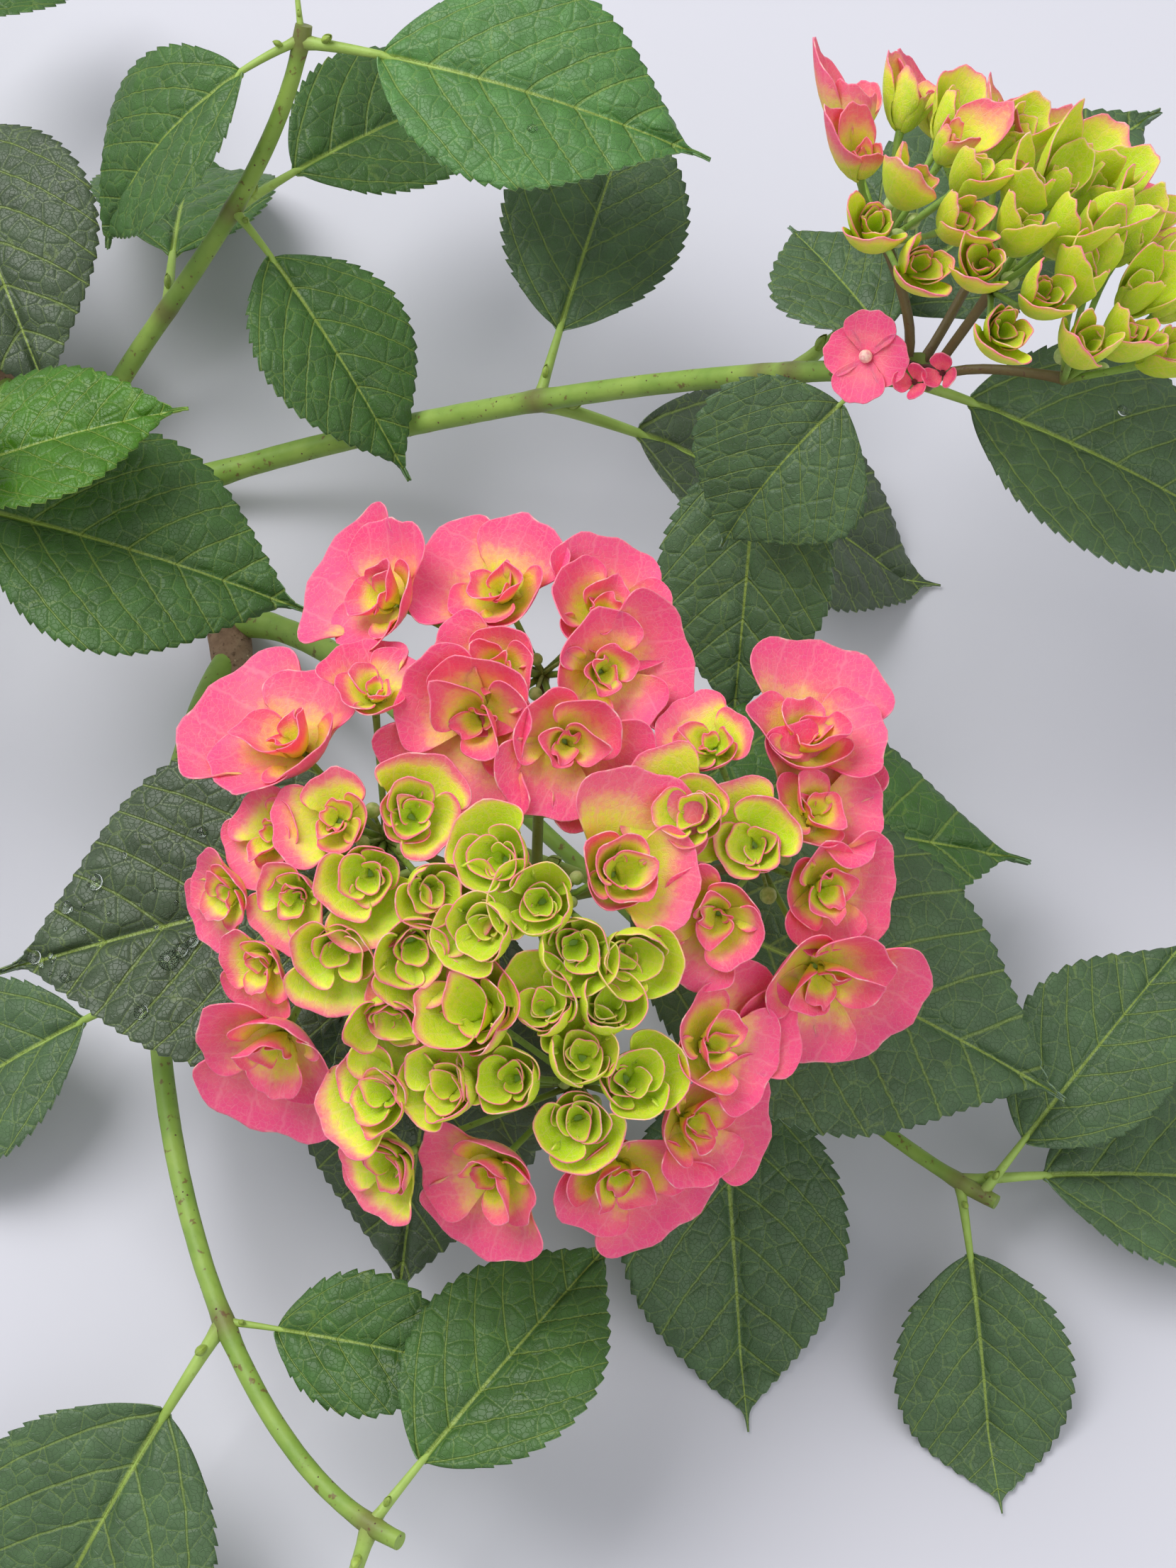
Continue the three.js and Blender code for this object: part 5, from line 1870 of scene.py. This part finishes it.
class HYDRANGEA_OT_details(bpy.types.Operator):
    """Builds the closed buds, the younger head's first pink floret, and the drops of water"""

    bl_idname = "hydrangea.details"
    bl_label = "Buds and water"

    def execute(self, context):
        self.closed_buds()
        self.first_pink(settings("florets"))
        self.water()
        return {"FINISHED"}

    def closed_buds(self):
        """Small closed buds on short stalks round the junctions of the rays."""
        finish = plain_finish("closed_bud", "#C9D48A", "#9DB65A", 700.0, 0.5)
        stalk = plain_finish("bud_stalk", "#A9B873", "#7C8F45", 900.0, 0.55)
        thing = ball_thing("ball_pattern", 9, 1.15, 0.9)
        for name, head in BLOOMS.items():
            spots = Marks()
            lines = Marks()
            for row, (which, ray, count, ring, radius) in enumerate(CLOSED_BUDS):
                if which != name:
                    continue
                junction = head.junction(ray)
                for i in range(count):
                    out = ring * math.sqrt((i + 0.7) / count)
                    way = turned(head.right, head.up, i * GOLDEN_ANGLE + row) * out
                    top = junction + way + head.axis * (ring + swing(i, row, BUD_STALK["height_swing"]))
                    line = bezier(junction, junction + head.axis * ring * BUD_STALK["bend"], top)
                    lines.line(line(np.linspace(0, 1, BUD_STALK["rings"])), BUD_STALK["radius"])
                    size = radius * (1 + swing(i, row + 1, BUD_STALK["size_swing"]))
                    spots.spot(top, size, unit(top - junction))
            where = (f"{name}_florets", f"bloom_{name}")
            settle(studded(spots, f"closed_buds_{name}", finish, thing), *where)
            settle(apply_tree(lines.make(f"bud_stalks_{name}"), "limbs", stalk, Sides=6), *where)
        bpy.data.objects.remove(thing)

    def first_pink(self, s):
        """A flat pink floret of four sepals low on the younger head, and two small scraps of pink."""
        head = BLOOMS["young"]
        base = head.hub + np.array(FIRST_PINK["place"]) + head.axis * FIRST_PINK["above"]
        axis = unit(FIRST_PINK["way"])
        outer = unit(np.cross(axis, (0, 0, 1)))
        finish = sepal_finish("pink_sepal", [(0.0, s.pink), (0.5, s.coral), (1.0, s.pink)], s.pale)
        colour = {"thickness": s.sepal / MM, "pinkness": 0.3, "soft": 0.5, "strength": 1.0}
        sheets = Sheets()
        for k in range(4):
            reach = FIRST_PINK["width"] / 2 * (1 + swing(k, "first_pink", FIRST_PINK["width_swing"]))
            long, wide = (reach * share for share in FIRST_PINK["sepal"])
            grid = sepal_grid(
                long, wide, FIRST_PINK["lean"], FIRST_PINK["foot"], stretch=1.0, cup=0.45, tuck=0.3,
                lift=0.25 * (k % 2), pointed=0.35, wave=0.4, seed=k * 3 + 1,
            )
            azimuth = math.radians(90 * k + FIRST_PINK["turn"])
            add_sepal(sheets, (base, axis, outer), azimuth, grid, ground=0.2, **colour)
        settle(sheets.make("first_pink_floret", [finish]), "young_florets", "bloom_young")
        heart = plain_finish("floret_heart", "#F3D3BE", "#E59AA0", 1500.0, 0.5)
        thing = ball_thing("heart_pattern", 9, 1.0, 0.8)
        spots = Marks()
        high, radius = FIRST_PINK["heart"]
        spots.spot(base + axis * high, radius, axis)
        settle(studded(spots, "first_pink_heart", heart, thing), "young_florets")
        bpy.data.objects.remove(thing)
        dark = plain_finish("dark_stalk", "#6B3A38", "#4A2A2C", 600.0, 0.5)
        lines = Marks()
        scraps = Sheets()
        start = head.hub + head.axis
        for i, away in enumerate(((0, 0, 0), *SCRAPS)):
            end = base + np.array(away, float)
            line = bezier(start, mix(start, end, 0.5) + head.axis * 1.5, end)
            lines.line(line(np.linspace(0, 1, FIRST_PINK["stalk_rings"])), FIRST_PINK["stalk_radius"])
            for k in range(3 if i else 0):
                grid = sepal_grid(
                    *SCRAP_SEPAL, math.radians(14), math.radians(60), stretch=1.0, cup=0.8, tuck=0.2,
                    lift=0, pointed=0.3, wave=0.1, seed=k + i,
                )
                azimuth = math.radians(120 * k + 30 * i)
                add_sepal(scraps, (end, axis, outer), azimuth, grid, ground=0.3, **colour)
        settle(scraps.make("pink_scraps", [finish]), "young_florets")
        settle(apply_tree(lines.make("first_stalks"), "limbs", dark, Sides=8), "young_florets")

    def water(self):
        """Drops lying on leaves."""
        rows = list(DROPS)
        for i in range(FINE_DROPS["count"]):
            along = mix(*FINE_DROPS["along"], chance(i, "drop_along"))
            across = swing(i, "drop_across", FINE_DROPS["across"])
            rows.append((DROPS[0][0], along, across, mix(*FINE_DROPS["radius"], chance(i, "drop_size"))))
        lift = DROP_LIFT[0] + settings("leaves").relief / MM * DROP_LIFT[1]
        further, wider = NEARBY
        spots = Marks()
        for name, x, share, radius in rows:
            leaf = BLADES[f"leaf_{name}"]
            out = share * leaf.half(x)
            here, there, aside = (
                leaf.surface(np.array([a]), np.array([b]), leaf.half(np.array([a])))[0]
                for a, b in ((x, out), (x + further, out), (x, out + wider))
            )
            normal = unit(np.cross(there - here, aside - here))
            normal = normal * np.sign(normal[2])
            spots.spot(here + normal * lift, radius, normal)
        thing = ball_thing("drop_pattern", 13, *DROP_SHAPE)
        water = Finish(
            "water", Base_Color=(0.95, 1.0, 0.95, 1.0), Roughness=0.02, IOR=1.33, Transmission_Weight=1.0
        )
        settle(studded(spots, "water_drops", water.material, thing), "leaf")
        bpy.data.objects.remove(thing)


# The stage

FLOOR_REACH = 30.0
SKY = (0.93, 0.96, 1.0, 1.0)
SKY_STRENGTH = 0.55
# Lights: place and size in metres, and power.
LIGHTS = {"key_light": ((-0.7, 0.5, 1.5), 1.2, 26.0), "fill_light": ((0.9, -0.9, 1.2), 1.4, 8.0)}
LIGHT_TARGET = (0, 0, 0.05)
FAR_CLIP = 50.0


def add_to_scene(name, data, place, way):
    """A lamp or a camera that looks along a way."""
    thing = bpy.data.objects.new(name, data)
    thing.location = place
    thing.rotation_euler = Vector(way).to_track_quat("-Z", "Y").to_euler()
    bpy.context.scene.collection.objects.link(thing)
    return thing


class HYDRANGEA_OT_stage(bpy.types.Operator):
    """Builds the floor, the soft light and the camera"""

    bl_idname = "hydrangea.stage"
    bl_label = "Stage"

    def execute(self, context):
        s = settings("stage")
        context.scene.view_settings.view_transform = "Standard"
        self.floor(s.floor)
        self.lights(s.light)
        self.camera()
        return {"FINISHED"}

    def floor(self, colour):
        mesh = bpy.data.meshes.new("floor")
        corners = [(x * FLOOR_REACH, y * FLOOR_REACH, 0) for x, y in ((-1, -1), (1, -1), (1, 1), (-1, 1))]
        mesh.from_pydata(corners, [], [(0, 1, 2, 3)])
        f = Finish("floor", Roughness=0.85, Specular_IOR_Level=0.2)
        f.fill(f.shader["Base Color"], f.blend(f.noise(6.0, detail=3.0), shaded(colour, 0.95), colour))
        own_mesh("floor", mesh, [f.material])

    def lights(self, strength):
        world = bpy.data.worlds.new("soft_sky")
        world.use_nodes = True
        sky = world.node_tree.nodes["Background"].inputs
        sky["Color"].default_value = SKY
        sky["Strength"].default_value = SKY_STRENGTH * strength
        bpy.context.scene.world = world
        for name, (place, size, power) in LIGHTS.items():
            light = bpy.data.lights.new(name, "AREA")
            light.size = size
            light.energy = power * strength
            add_to_scene(name, light, place, Vector(LIGHT_TARGET) - Vector(place))

    def camera(self):
        lens = bpy.data.cameras.new("photo_view")
        lens.sensor_fit = "VERTICAL"
        lens.angle = 2 * math.atan(VIEW["half_height"] / VIEW["distance"])
        lens.clip_end = FAR_CLIP
        rise = math.radians(VIEW["elevation"])
        back = np.array([0, -math.cos(rise), math.sin(rise)])
        place = place_in_frame(np.array(VIEW["target"]) + back * VIEW["distance"])[0]
        bpy.context.scene.camera = add_to_scene("photo_view", lens, place, -back)


OPERATORS = (
    HYDRANGEA_OT_stage,
    HYDRANGEA_OT_stems,
    HYDRANGEA_OT_leaves,
    HYDRANGEA_OT_florets,
    HYDRANGEA_OT_details,
)
GROUPS = {
    "leaves": HydrangeaLeafSettings,
    "florets": HydrangeaFloretSettings,
    "stems": HydrangeaStemSettings,
    "stage": HydrangeaStageSettings,
}


class HYDRANGEA_PT_branch(bpy.types.Panel):
    """Lists the branch's operators and settings"""

    bl_idname = "HYDRANGEA_PT_branch"
    bl_label = "Hydrangea Branch"
    bl_space_type = "VIEW_3D"
    bl_region_type = "UI"
    bl_category = "Hydrangea"

    def draw(self, context):
        for operator in OPERATORS:
            self.layout.operator(operator.bl_idname)
        for name, group in GROUPS.items():
            box = self.layout.box()
            for key in group.__annotations__:
                box.prop(settings(name), key)


def register():
    for group in GROUPS.values():
        bpy.utils.register_class(group)
    for name, group in GROUPS.items():
        setattr(bpy.types.Scene, f"hydrangea_{name}", bpy.props.PointerProperty(type=group))
    for operator in OPERATORS:
        bpy.utils.register_class(operator)
    bpy.utils.register_class(HYDRANGEA_PT_branch)


def unregister():
    bpy.utils.unregister_class(HYDRANGEA_PT_branch)
    for operator in reversed(OPERATORS):
        bpy.utils.unregister_class(operator)
    for name, group in GROUPS.items():
        delattr(bpy.types.Scene, f"hydrangea_{name}")
        bpy.utils.unregister_class(group)


def main():
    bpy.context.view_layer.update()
    register()
    bpy.ops.hydrangea.stage()
    bpy.ops.hydrangea.stems()
    bpy.ops.hydrangea.leaves()
    bpy.ops.hydrangea.florets()
    bpy.ops.hydrangea.details()


if __name__ == "__main__":
    main()
